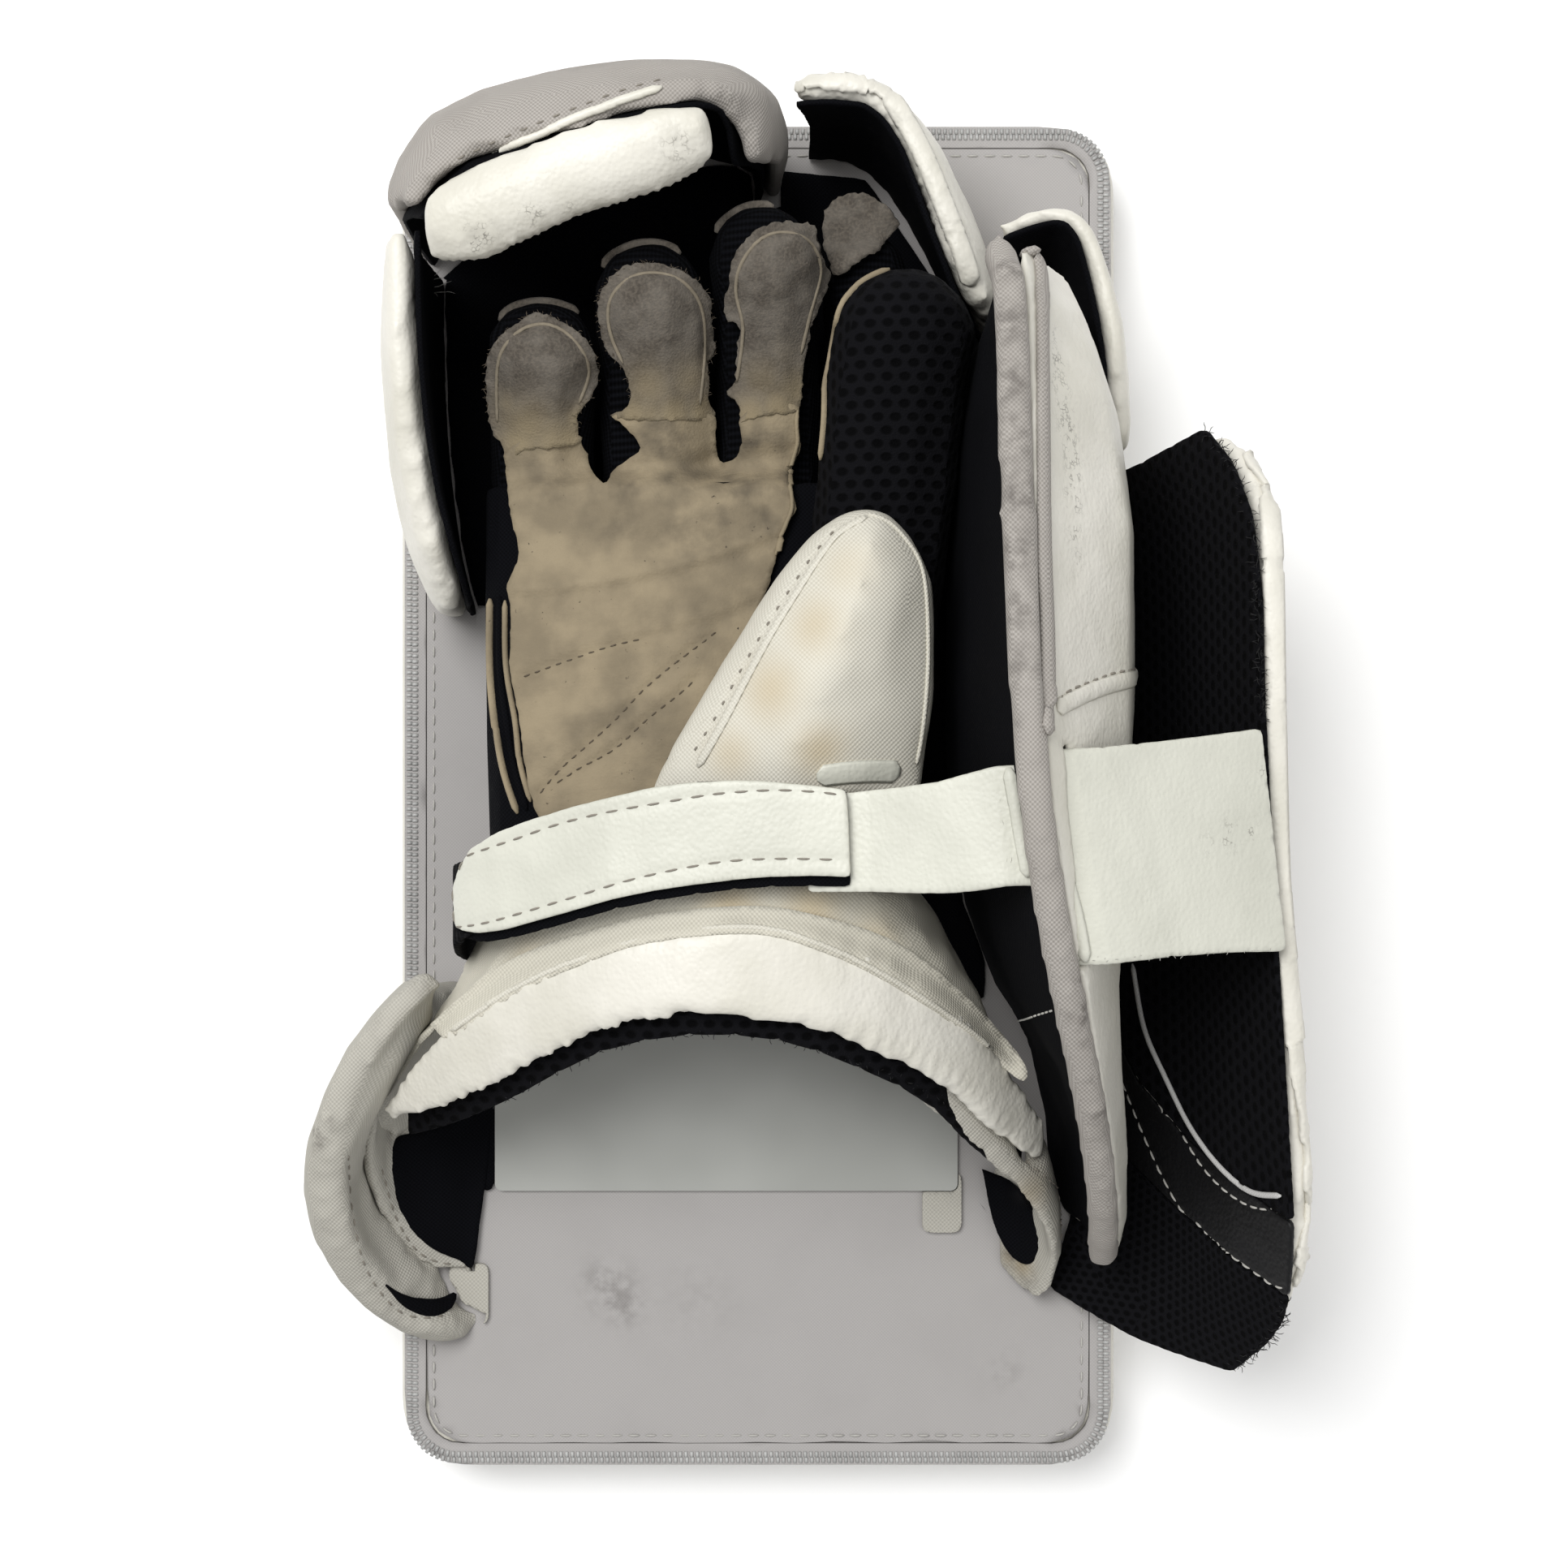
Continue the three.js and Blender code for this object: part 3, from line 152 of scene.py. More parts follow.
def add(tree, kind, settings=None, **feeds):
    """Adds a node. A feed is a value, a node (its first output) or (node, "output").

    _0 is the first input, and any other name is an input's own name.
    """
    node = tree.nodes.new(kind)
    for name, value in (settings or {}).items():
        setattr(node, name, value)
    for name, feed in feeds.items():
        socket = node.inputs[int(name[1:])] if name[0] == "_" else node.inputs[name.replace("_", " ")]
        if isinstance(feed, tuple) and isinstance(feed[0], bpy.types.Node):
            tree.links.new(feed[0].outputs[feed[1]], socket)
        elif isinstance(feed, bpy.types.Node):
            tree.links.new(feed.outputs[0], socket)
        else:
            socket.default_value = feed
    return node


def new_material(name, **surface):
    """A material with one shader, whose fixed values are set on its own sockets."""
    material = bpy.data.materials.new(name)
    material.use_nodes = True
    shader = material.node_tree.nodes["Principled BSDF"]
    for socket, value in surface.items():
        shader.inputs[socket.replace("_", " ")].default_value = value
    return material, material.node_tree, shader


def blended(tree, share, low, high):
    """Colour that goes from low to high with a share; both may be nodes."""
    mix = add(tree, "ShaderNodeMix", {"data_type": "RGBA"}, _0=share)
    for index, colour in ((6, low), (7, high)):
        if isinstance(colour, bpy.types.Node):
            output = colour.outputs[2] if colour.bl_idname == "ShaderNodeMix" else colour.outputs[0]
            tree.links.new(output, mix.inputs[index])
        else:
            mix.inputs[index].default_value = paint(colour)
    return mix


def stepped(tree, value, low, high):
    """Smooth step: 0 under low, 1 over high."""
    return add(tree, "ShaderNodeMapRange", {"interpolation_type": "SMOOTHSTEP"}, _0=value, _1=low,
        _2=high)


def sized(tree, millimetres, detail=2, place=None, stretch=None):
    """Noise whose lumps are about so many millimetres across."""
    place = place or (add(tree, "ShaderNodeTexCoord"), "Object")
    if stretch:
        place = add(tree, "ShaderNodeVectorMath", {"operation": "MULTIPLY"}, _0=place, _1=stretch)
    return add(tree, "ShaderNodeTexNoise", Vector=place, Scale=1 / (millimetres * MM), Detail=detail)


def with_dirt_and_shade(tree, tone, grime_and_shade, lumps, low, high):
    """Tone soiled where the piece is marked as dirty, and along the top of the palm darkened
    as painted shade, broken up by noise of (size in mm, detail).
    """
    dirt_and_shade_mark = add(tree, "ShaderNodeAttribute", {"attribute_name": "dirt_and_shade"})
    broken = stepped(tree, sized(tree, *lumps), low, high)
    haze = add(tree, "ShaderNodeMath", {"operation": "MULTIPLY", "use_clamp": True}, _0=(dirt_and_shade_mark, "Fac"),
        _1=broken)
    return blended(tree, haze, tone, grime_and_shade)


def finish(tree, shader, tone, height, strength, distance):
    """Feeds the colour and a relief of that height in millimetres to the shader."""
    tree.links.new(tone.outputs[2], shader.inputs["Base Color"])
    bump = add(tree, "ShaderNodeBump", Strength=strength, Distance=distance * MM, Height=height)
    tree.links.new(bump.outputs[0], shader.inputs["Normal"])


# %% [markdown]
# ## Synthetic leather
# The white cover is polyurethane leather: a cloth coated with plastic, embossed with a pebble
# grain and a little glossy. The eye sees fine pebbles where light grazes it, soft clouds of
# slightly warmer white, and dark specks where the coating has cracked or rubbed. Cracks are the
# borders of small cells, and they show only where the piece has been marked as worn.

# %% Leathers


def synthetic_leather(name, light, shade, grain=0.9, depth=0.25, gloss=0.46, wear="#6E6A62", gleam=0.5):
    material, tree, shader = new_material(name, Roughness=gloss, IOR=1.5, Specular_IOR_Level=gleam)
    clouds = stepped(tree, sized(tree, 28, 3), 0.35, 0.7)
    tone = blended(tree, clouds, light, shade)
    worn = add(tree, "ShaderNodeAttribute", {"attribute_name": "wear"})
    place = (add(tree, "ShaderNodeTexCoord"), "Object")
    cells = add(tree, "ShaderNodeTexVoronoi", {"feature": "DISTANCE_TO_EDGE"}, Vector=place,
        Scale=1 / (1.1 * MM))
    cracks = add(tree, "ShaderNodeMapRange", _0=cells, _1=0.02, _2=0.16, _3=1.0, _4=0.0)
    patches = stepped(tree, sized(tree, 2.4, 3), 0.48, 0.6)
    scuffs = add(tree, "ShaderNodeMath", {"operation": "MULTIPLY"}, _0=cracks, _1=patches)
    marked = add(tree, "ShaderNodeMath", {"operation": "MULTIPLY", "use_clamp": True}, _0=scuffs,
        _1=(worn, "Fac"))
    tone = blended(tree, marked, tone, wear)
    tone = with_dirt_and_shade(tree, tone, "#6E6A64", (5, 4), 0.3, 0.75)
    pebbles = add(tree, "ShaderNodeTexVoronoi", {"feature": "SMOOTH_F1"}, Vector=place,
        Scale=1 / (grain * MM))
    creases = sized(tree, 3.0, 4, stretch=(1.6, 0.7, 1))
    relief = add(tree, "ShaderNodeMath", {"operation": "MULTIPLY_ADD"}, _0=creases, _1=0.9, _2=pebbles)
    finish(tree, shader, tone, relief, depth, 0.35)
    return material


white_leather = synthetic_leather("white synthetic leather", "#DBD8CE", "#CECBBF", grain=1.2,
    depth=0.42)
strap_leather = synthetic_leather("white strap leather", "#CFCFC3", "#C4C4B8", grain=1.1, depth=0.38)
black_leather = synthetic_leather("black grained leather", "#08080A", "#0E0E11", grain=1.1, depth=0.6,
    gloss=0.55, wear="#2A2A2E", gleam=0.3)


def palm_leather_of(name, light, shade, grime_and_shade):
    material, tree, shader = new_material(name, Roughness=0.85, IOR=1.45, Specular_IOR_Level=0.3)
    clouds = stepped(tree, sized(tree, 16, 4), 0.36, 0.66)
    tone = blended(tree, clouds, light, shade)
    # Where a piece is marked the tone goes to the grime colour: dirt, and along the top of the palm
    # also painted shade.
    tone = with_dirt_and_shade(tree, tone, grime_and_shade, (6, 5), 0.25, 0.8)
    specks = add(tree, "ShaderNodeMapRange", _0=sized(tree, 1.3, 2), _1=0.7, _2=0.76)
    few = stepped(tree, sized(tree, 14, 2), 0.46, 0.62)
    spots = add(tree, "ShaderNodeMath", {"operation": "MULTIPLY", "use_clamp": True}, _0=specks, _1=few)
    tone = blended(tree, spots, tone, "#2F2924")
    grain = sized(tree, 0.7, 3)
    folds = sized(tree, 4.5, 3, stretch=(0.6, 1.8, 1))
    relief = add(tree, "ShaderNodeMath", {"operation": "MULTIPLY_ADD"}, _0=folds, _1=1.6, _2=grain)
    finish(tree, shader, tone, relief, 0.35, 0.5)
    return material


# 48423A is the palm's grime: dirt, darkened further to paint the shade under the finger box.
palm_leather = palm_leather_of("thin palm leather", "#94876F", "#7D725E", "#48423A")

# %% [markdown]
# ## Suede
# The fingertips are patched with suede, the raised inner side of a hide. Short fibres scatter the
# light, so it has no gloss, and it looks lighter at its edges and where it has been brushed.

# %% Suede
suede, tree, shader = new_material("worn suede", Roughness=0.97, IOR=1.4, Specular_IOR_Level=0.1,
    Sheen_Weight=0.04)
clouds = stepped(tree, sized(tree, 7, 4), 0.35, 0.68)
nap = stepped(tree, sized(tree, 0.8, 3), 0.35, 0.7)
tone = blended(tree, clouds, "#635E57", "#4B4640")
dark = add(tree, "ShaderNodeMath", {"operation": "MULTIPLY"}, _0=nap, _1=0.35)
tone = blended(tree, dark, tone, "#7B7368")
dirt_and_shade_mark = add(tree, "ShaderNodeAttribute", {"attribute_name": "dirt_and_shade"})
tone = blended(tree, (dirt_and_shade_mark, "Fac"), tone, "#857962")
fur = sized(tree, 0.6, 4)
finish(tree, shader, tone, fur, 0.7, 0.4)

# %% Pressed edge of the suede
seam_suede, tree, shader = new_material("pressed suede edge", Roughness=0.9, IOR=1.4,
    Specular_IOR_Level=0.2)
tone = blended(tree, sized(tree, 1.5, 3), "#8C8373", "#6B6356")
tree.links.new(tone.outputs[2], shader.inputs["Base Color"])

# %% [markdown]
# ## Woven cloth
# Nylon, webbing and mesh are made of threads, so their patterns must lie in the surface. Without a
# flattened layout, two of the three directions of space can serve: the two along which the
# surface runs at that point, which its normal tells. The threads are then waves along those two.
# The real threads are about 0.5 mm apart. They are drawn near 1 mm, or they wouldn't show.

# %% Weaves


def thread_places(tree):
    """Two distances along the surface, in metres."""
    place = add(tree, "ShaderNodeSeparateXYZ", Vector=(add(tree, "ShaderNodeTexCoord"), "Object"))
    facing = add(tree, "ShaderNodeSeparateXYZ", Vector=(add(tree, "ShaderNodeNewGeometry"), "Normal"))
    size = [add(tree, "ShaderNodeMath", {"operation": "ABSOLUTE"}, _0=(facing, axis)) for axis in "XYZ"]
    most = add(tree, "ShaderNodeMath", {"operation": "MAXIMUM"}, _0=size[0], _1=size[1])
    upward = add(tree, "ShaderNodeMath", {"operation": "GREATER_THAN"}, _0=size[2], _1=most)
    sideways = add(tree, "ShaderNodeMath", {"operation": "GREATER_THAN"}, _0=size[0], _1=size[1])
    level = add(tree, "ShaderNodeMath", {"operation": "SUBTRACT"}, _0=1.0, _1=upward)
    turned = add(tree, "ShaderNodeMath", {"operation": "MULTIPLY"}, _0=level, _1=sideways)
    along = add(tree, "ShaderNodeMix", {"data_type": "FLOAT"}, _0=turned, _2=(place, "X"),
        _3=(place, "Y"))
    across = add(tree, "ShaderNodeMix", {"data_type": "FLOAT"}, _0=upward, _2=(place, "Z"),
        _3=(place, "Y"))
    return along, across


def waves(tree, distance, pitch, phase=0.0):
    """A wave of that pitch in millimetres, from -1 to 1."""
    turns = add(tree, "ShaderNodeMath", {"operation": "MULTIPLY_ADD"}, _0=distance,
        _1=2 * math.pi / (pitch * MM), _2=phase)
    return add(tree, "ShaderNodeMath", {"operation": "SINE"}, _0=turns)


def woven(name, light, shade, pitch=1.0, ribbed=False, depth=0.5, stain="#BBA780", gloss=0.85,
    gleam=0.3):
    material, tree, shader = new_material(name, Roughness=gloss, IOR=1.45, Specular_IOR_Level=gleam)
    along, across = thread_places(tree)
    if ribbed:
        ribs = waves(tree, across, pitch)
        fine = waves(tree, along, pitch * 0.55)
        cloth = add(tree, "ShaderNodeMath", {"operation": "MULTIPLY_ADD"}, _0=fine, _1=0.45, _2=ribs)
    else:
        warp = waves(tree, along, pitch)
        weft = waves(tree, across, pitch)
        cloth = add(tree, "ShaderNodeMath", {"operation": "MULTIPLY"}, _0=warp, _1=weft)
    height = add(tree, "ShaderNodeMath", {"operation": "MULTIPLY_ADD"}, _0=cloth, _1=0.5, _2=0.5)
    tone = blended(tree, height, shade, light)
    clouds = stepped(tree, sized(tree, 22, 3), 0.42, 0.75)
    soft = add(tree, "ShaderNodeMath", {"operation": "MULTIPLY"}, _0=clouds, _1=0.35)
    tone = blended(tree, soft, tone, shade)
    yellowed = add(tree, "ShaderNodeAttribute", {"attribute_name": "stain"})
    tone = blended(tree, (yellowed, "Fac"), tone, stain)
    tone = with_dirt_and_shade(tree, tone, "#55504C", (3.5, 4), 0.3, 0.7)
    finish(tree, shader, tone, height, depth, 0.3)
    return material


white_nylon = woven("white woven nylon", "#C9C8C6", "#B4B3B1", pitch=1.0, depth=0.2, gloss=0.7)
# The board's back is the white nylon darkened, to paint the shade in which it lies low under the cuff.
board_nylon_painted_shade = woven("board back nylon in painted shade", "#ABA8A6", "#9D9A98", pitch=0.9, depth=0.08, gloss=0.7)
cream_nylon = woven("coarse cream nylon", "#DBD8CC", "#C2BEB1", pitch=1.15, depth=0.5)
# The gusset has a tone of its own, set to paint light into the shadow that a strap casts on it.
gusset_nylon_painted_light = woven("coarse gusset nylon in painted light", "#D2CEC0", "#B9B5A7", pitch=1.15, depth=0.5)
roll_nylon = woven("coarse roll nylon", "#BDBAB0", "#A29F96", pitch=1.15, depth=0.6, stain="#8A7B5E")
grey_cloth = woven("grey binding cloth", "#B3AEA8", "#8A857F", pitch=1.15, depth=0.55)
black_nylon = woven("black woven nylon", "#0C0D11", "#040406", pitch=1.1, depth=0.4, gloss=0.9,
    gleam=0.08)
black_webbing = woven("black webbing", "#111114", "#040405", pitch=1.8, ribbed=True, depth=0.8,
    gleam=0.1)
black_knit = woven("black finger knit", "#0D0E12", "#020203", pitch=1.9, ribbed=True, depth=0.9,
    gloss=0.95, gleam=0.08)

# %% [markdown]
# ## Air mesh
# Spacer mesh is a knit with rows of oval holes, which shows as rings of thread round dark dots.
# A lattice of cells with no randomness is a regular grid of dots. Stretching its coordinates and
# shifting every other row makes the honeycomb of ovals.

# %% Air mesh


def air_mesh(name, thread, hole, wide, tall, depth=0.9):
    material, tree, shader = new_material(name, Roughness=0.95, IOR=1.45, Specular_IOR_Level=0.12)
    along, across = thread_places(tree)
    u = add(tree, "ShaderNodeMath", {"operation": "MULTIPLY"}, _0=along, _1=1 / (wide * MM))
    v = add(tree, "ShaderNodeMath", {"operation": "MULTIPLY"}, _0=across, _1=1 / (tall * MM))
    row = add(tree, "ShaderNodeMath", {"operation": "FLOOR"}, _0=v)
    odd = add(tree, "ShaderNodeMath", {"operation": "MODULO"}, _0=row, _1=2.0)
    shift = add(tree, "ShaderNodeMath", {"operation": "MULTIPLY_ADD"}, _0=odd, _1=0.5, _2=u)
    cell_u = add(tree, "ShaderNodeMath", {"operation": "FRACT"}, _0=shift)
    cell_v = add(tree, "ShaderNodeMath", {"operation": "FRACT"}, _0=v)
    du = add(tree, "ShaderNodeMath", {"operation": "SUBTRACT"}, _0=cell_u, _1=0.5)
    dv = add(tree, "ShaderNodeMath", {"operation": "SUBTRACT"}, _0=cell_v, _1=0.5)
    both = add(tree, "ShaderNodeCombineXYZ", X=du, Y=dv)
    far = add(tree, "ShaderNodeVectorMath", {"operation": "LENGTH"}, _0=both)
    rim = stepped(tree, (far, "Value"), 0.2, 0.42)
    fuzz = sized(tree, 0.5, 3)
    rough = add(tree, "ShaderNodeMath", {"operation": "MULTIPLY_ADD"}, _0=fuzz, _1=0.5, _2=rim)
    tone = blended(tree, rim, hole, thread)
    finish(tree, shader, tone, rough, depth, 0.6)
    return material


black_mesh = air_mesh("black air mesh", "#0D0D10", "#010102", 4.4, 3.2)
coarse_mesh = air_mesh("black bumper mesh", "#0F0F12", "#020203", 2.6, 2.2)

# %% [markdown]
# ## Small finishes
# Sewing thread is a thin twisted cord, here drawn as fine mottling of two near tones. The wrist
# plate is a sheet of moulded polypropylene with a matt face, which shows faint scratches and
# nothing else. The floor is plain painted board.

# %% Thread, plate and floor


def sewing_thread(name, colour, shade):
    material, tree, shader = new_material(name, Roughness=0.7, IOR=1.5)
    twist = sized(tree, 0.6, 1)
    tone = blended(tree, twist, colour, shade)
    finish(tree, shader, tone, twist, 0.4, 0.1)
    return material


grey_thread = sewing_thread("grey sewing thread", "#8C867A", "#77716A")
white_thread = sewing_thread("white sewing thread", "#BDBBB5", "#A5A39D")
brown_thread = sewing_thread("brown sewing thread", "#5E5344", "#4A4136")
black_thread = sewing_thread("black sewing thread", "#0A0A0C", "#030304")

plate_plastic, tree, shader = new_material("grey polypropylene sheet", Roughness=0.5, IOR=1.49)
clouds = stepped(tree, sized(tree, 40, 2), 0.3, 0.75)
tone = blended(tree, clouds, "#A8A9A4", "#9C9D98")
scratches = sized(tree, 2.0, 4, stretch=(4, 0.3, 1))
finish(tree, shader, tone, scratches, 0.08, 0.1)

floor_paint, tree, shader = new_material("painted board", Roughness=0.9)
shader.inputs["Base Color"].default_value = paint("#FFFFFF")
floor_mesh.materials.append(floor_paint)

# %% [markdown]
# ## Tools for soft pieces
# A soft piece starts as a copy of its CAD solid. A pad is remeshed into even cells, so that it can
# be blown up like a cushion. A thin sheet can't be: its cells would have to be thinner than the
# sheet. Its long edges are split instead. Whatever moves afterwards goes through one gate, which
# looks along the way and stops a little before any neighbour.

# %% Copies, remeshing and the gate
GAP = 0.12 * MM
node_meshes = {}
for name, node in frame["nodes"].items():
    node.data.calc_loop_triangles()
    node_meshes[name] = (
        [vertex.co.copy() for vertex in node.data.vertices],
        [tuple(triangle.vertices) for triangle in node.data.loop_triangles],
    )


def tree_of(*names):
    """Search tree over CAD nodes or finished pieces."""
    points, faces = [], []
    for name in names:
        if name in node_meshes:
            more, triangles = node_meshes[name]
        else:
            mesh = bpy.data.objects[name].data
            mesh.calc_loop_triangles()
            more = [vertex.co.copy() for vertex in mesh.vertices]
            triangles = [tuple(triangle.vertices) for triangle in mesh.loop_triangles]
        faces += [tuple(index + len(points) for index in triangle) for triangle in triangles]
        points += more
    return BVHTree.FromPolygons(points, faces)


def points_of(piece):
    flat = np.empty(len(piece.data.vertices) * 3, np.float32)
    piece.data.vertices.foreach_get("co", flat)
    return flat.reshape(-1, 3).astype(float)


def normals_of(piece):
    flat = np.empty(len(piece.data.vertices) * 3, np.float32)
    piece.data.vertices.foreach_get("normal", flat)
    return flat.reshape(-1, 3).astype(float)


def place_points(piece, points):
    piece.data.vertices.foreach_set("co", points.astype(np.float32).ravel())
    piece.data.update()


def shift(piece, offsets):
    """The gate: moves vertices, but never into a neighbour."""
    neighbours = tree_of(*[name for name in node_meshes if name not in piece.get("made_of", [])])
    points = points_of(piece)
    lengths = np.linalg.norm(offsets, axis=1)
    for i in np.nonzero(lengths > 0.02 * MM)[0]:
        way = Vector(offsets[i])
        hit = neighbours.ray_cast(Vector(points[i]), way.normalized(), way.length + GAP)
        if hit[0] is not None:
            offsets[i] *= max(0.0, hit[3] - GAP) / way.length
    place_points(piece, points + offsets)


def piece_from(name, mesh, made_of=()):
    piece = bpy.data.objects.new(name, mesh)
    bpy.context.scene.collection.objects.link(piece)
    if made_of:
        piece["made_of"] = list(made_of)
    mesh.polygons.foreach_set("use_smooth", [True] * len(mesh.polygons))
    return piece


def blank(name, *nodes):
    """Copy of one or more CAD solids."""
    work = bmesh.new()
    for node in nodes:
        work.from_mesh(frame["nodes"][node].data)
    bmesh.ops.remove_doubles(work, verts=work.verts, dist=0.01 * MM)
    mesh = bpy.data.meshes.new(name)
    work.to_mesh(mesh)
    work.free()
    mesh.materials.clear()
    return piece_from(name, mesh, nodes)


def settle(piece):
    """Applies the piece's modifiers."""
    graph = bpy.context.evaluated_depsgraph_get()
    mesh = bpy.data.meshes.new_from_object(piece.evaluated_get(graph))
    piece.modifiers.clear()
    piece.data = mesh
    mesh.polygons.foreach_set("use_smooth", [True] * len(mesh.polygons))
    return piece


def smoothed(piece, rounds, factor=0.5):
    step = piece.modifiers.new("smooth", "SMOOTH")
    step.factor = factor
    step.iterations = rounds
    return settle(piece)


def remeshed(piece, cell, rounds=2):
    step = piece.modifiers.new("cells", "REMESH")
    step.mode = "VOXEL"
    step.voxel_size = cell * MM
    settle(piece)
    return smoothed(piece, rounds)


def split_long(piece, longest):
    """Splits edges until none is longer, for sheets too thin to remesh."""
    work = bmesh.new()
    work.from_mesh(piece.data)
    for _ in range(8):
        long = [edge for edge in work.edges if edge.calc_length() > longest * MM]
        if not long:
            break
        bmesh.ops.subdivide_edges(work, edges=long, cuts=1)
        bmesh.ops.triangulate(work, faces=[face for face in work.faces if len(face.verts) > 3])
    work.to_mesh(piece.data)
    work.free()
    return piece


def subdivided(piece, levels=1):
    step = piece.modifiers.new("finer", "SUBSURF")
    step.levels = levels
    step.render_levels = levels
    return settle(piece)


def rumple(piece, depth, size, seed, stretch=(1, 1, 1), where=None):
    """Soft waves of the surface: depth and size in millimetres."""
    normals = normals_of(piece)
    points = points_of(piece)
    start = Vector((seed * 7.3, seed * 3.1, seed * 5.7))
    scaled = points * np.array(stretch) / (size * MM)
    heights = np.array([noise.noise(Vector(place) + start) for place in scaled])
    if where is not None:
        heights *= where(points)
    shift(piece, normals * (heights * depth * MM)[:, None])


def dress(piece, material, replaces=None):
    """Gives a piece its material, hides the CAD solids that it replaces and hangs it on the root body.
    """
    piece.data.materials.clear()
    piece.data.materials.append(material)
    nodes = replaces if replaces is not None else list(piece.get("made_of", []))
    if nodes:
        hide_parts(*nodes)
    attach(piece, "root")
    triangles = sum(len(face.vertices) - 2 for face in piece.data.polygons)
    print(piece.name, "triangles:", triangles)
    return piece


# %% [markdown]
# ## Blowing up the pads
# Foam wrapped in leather bulges between its seams. Cloth simulation with a little air pressure
# and no gravity finds that shape by itself. All the pads are blown up in one run of 20 frames,
# which costs less than a run for each. A cap keeps each point near where it started.

# %% Pads
PADS = {
    # piece: (cell in mm, cap in mm)
    "fingertip_bar": (2.6, 3.0),
    "little_side_wall": (2.8, 1.6),
    "fingertip_hood": (2.8, 1.2),
    "index_side_wall": (2.8, 1.6),
    "corner_wall": (2.6, 1.2),
    "side_wall": (3.2, 1.6),
    "thumb_guard": (2.6, 2.4),
    "cuff_pad": (2.6, 2.4),
    "cuff_roll_inner": (2.2, 1.6),
    "cuff_roll_outer": (2.8, 2.0),
    "cuff_roll_thumb_side": (2.0, 1.2),
    "shield_binding": (2.2, 0.8),
    "hand_back": (3.2, 1.0),
}
FRAMES = 20
pads = {name: remeshed(blank(name + "_soft", name), cell) for name, (cell, cap) in PADS.items()}
smoothed(pads["thumb_guard"], 10)
smoothed(pads["cuff_roll_thumb_side"], 6)
resting = {name: points_of(piece) for name, piece in pads.items()}
for piece in pads.values():
    air = piece.modifiers.new("air", "CLOTH")
    air.settings.quality = 4
    air.settings.use_pressure = True
    air.settings.uniform_pressure_force = 4
    air.settings.effector_weights.gravity = 0
    air.point_cache.frame_start = 1
    air.point_cache.frame_end = FRAMES
for step in range(1, FRAMES + 1):
    bpy.context.scene.frame_set(step)
graph = bpy.context.evaluated_depsgraph_get()
blown = {}
for name, piece in pads.items():
    mesh = piece.evaluated_get(graph).to_mesh()
    flat = np.empty(len(mesh.vertices) * 3, np.float32)
    mesh.vertices.foreach_get("co", flat)
    blown[name] = flat.reshape(-1, 3).astype(float)
    piece.evaluated_get(graph).to_mesh_clear()
for name, piece in pads.items():
    piece.modifiers.clear()
    offsets = blown[name] - resting[name]
    lengths = np.linalg.norm(offsets, axis=1, keepdims=True)
    cap = PADS[name][1] * MM
    offsets *= np.minimum(1, cap / np.maximum(lengths, 1e-9))
    shift(piece, offsets)
    print(name, "moved at most", round(float(lengths.max()) / MM, 2), "mm, cap", PADS[name][1])
bpy.context.scene.frame_set(1)
for piece in pads.values():
    subdivided(piece)

# %% Sheets
SHEETS = {
    # piece: (longest edge in mm, rounds of smoothing)
    "box_base": (6.0, 1),
    "board_back_panel": (6.0, 1),
    "board_zipper": (7.0, 1),
    "plate_side_strip": (4.0, 1),
    "tab_little_side": (1.5, 2),
    "tab_thumb_side": (1.5, 2),
    "palm_panel": (4.0, 4),
    "thumb_sleeve": (2.4, 5),
    "finger_little": (2.2, 5),
    "finger_ring": (2.2, 5),
    "finger_middle": (2.2, 5),
    "finger_index": (2.2, 5),
    "little_side_wall_lining": (3.0, 4),
    "fingertip_hood_lining": (3.0, 4),
    "index_side_wall_lining": (3.0, 4),
    "corner_wall_lining": (3.0, 4),
    "side_wall_mesh": (2.6, 4),
    "side_wall_band": (2.0, 3),
    "side_wall_bumper": (2.2, 4),
    "shield_leather": (3.3, 5),
    "shield_pad": (4.0, 5),
    "strap_backing": (2.0, 3),
    "strap_loop": (2.4, 3),
    "tie_strap": (1.8, 3),
    "wide_strap": (2.2, 3),
    "wrist_strap": (1.8, 3),
    "cuff_lining": (2.2, 4),
    "cuff_gusset": (2.0, 5),
}
sheets = {}
for name, (longest, rounds) in SHEETS.items():
    sheets[name] = smoothed(split_long(blank(name + "_soft", name), longest), rounds)

# %% Dress the pads
PAD_FINISH = {
    "fingertip_bar": (white_leather, "white_leather", 0.8),
    "little_side_wall": (white_leather, "white_leather", 0.6),
    "fingertip_hood": (grey_cloth, "grey_twill", 0.6),
    "index_side_wall": (white_leather, "white_leather", 0.6),
    "corner_wall": (white_leather, "white_leather", 0.6),
    "side_wall": (white_leather, "white_leather", 0.6),
    "thumb_guard": (cream_nylon, "cream_nylon", 0.8),
    "cuff_pad": (white_leather, "white_leather", 0.7),
    "cuff_roll_inner": (roll_nylon, "cream_nylon", 0.7),
    "cuff_roll_outer": (roll_nylon, "white_nylon", 0.7),
    "cuff_roll_thumb_side": (roll_nylon, "cream_nylon", 0.7),
    "shield_binding": (grey_cloth, "grey_twill", 0.5),
    "hand_back": (black_nylon, "black_nylon", 0.6),
}
for name, (material, slot, fill) in PAD_FINISH.items():
    dress(pads[name], material)

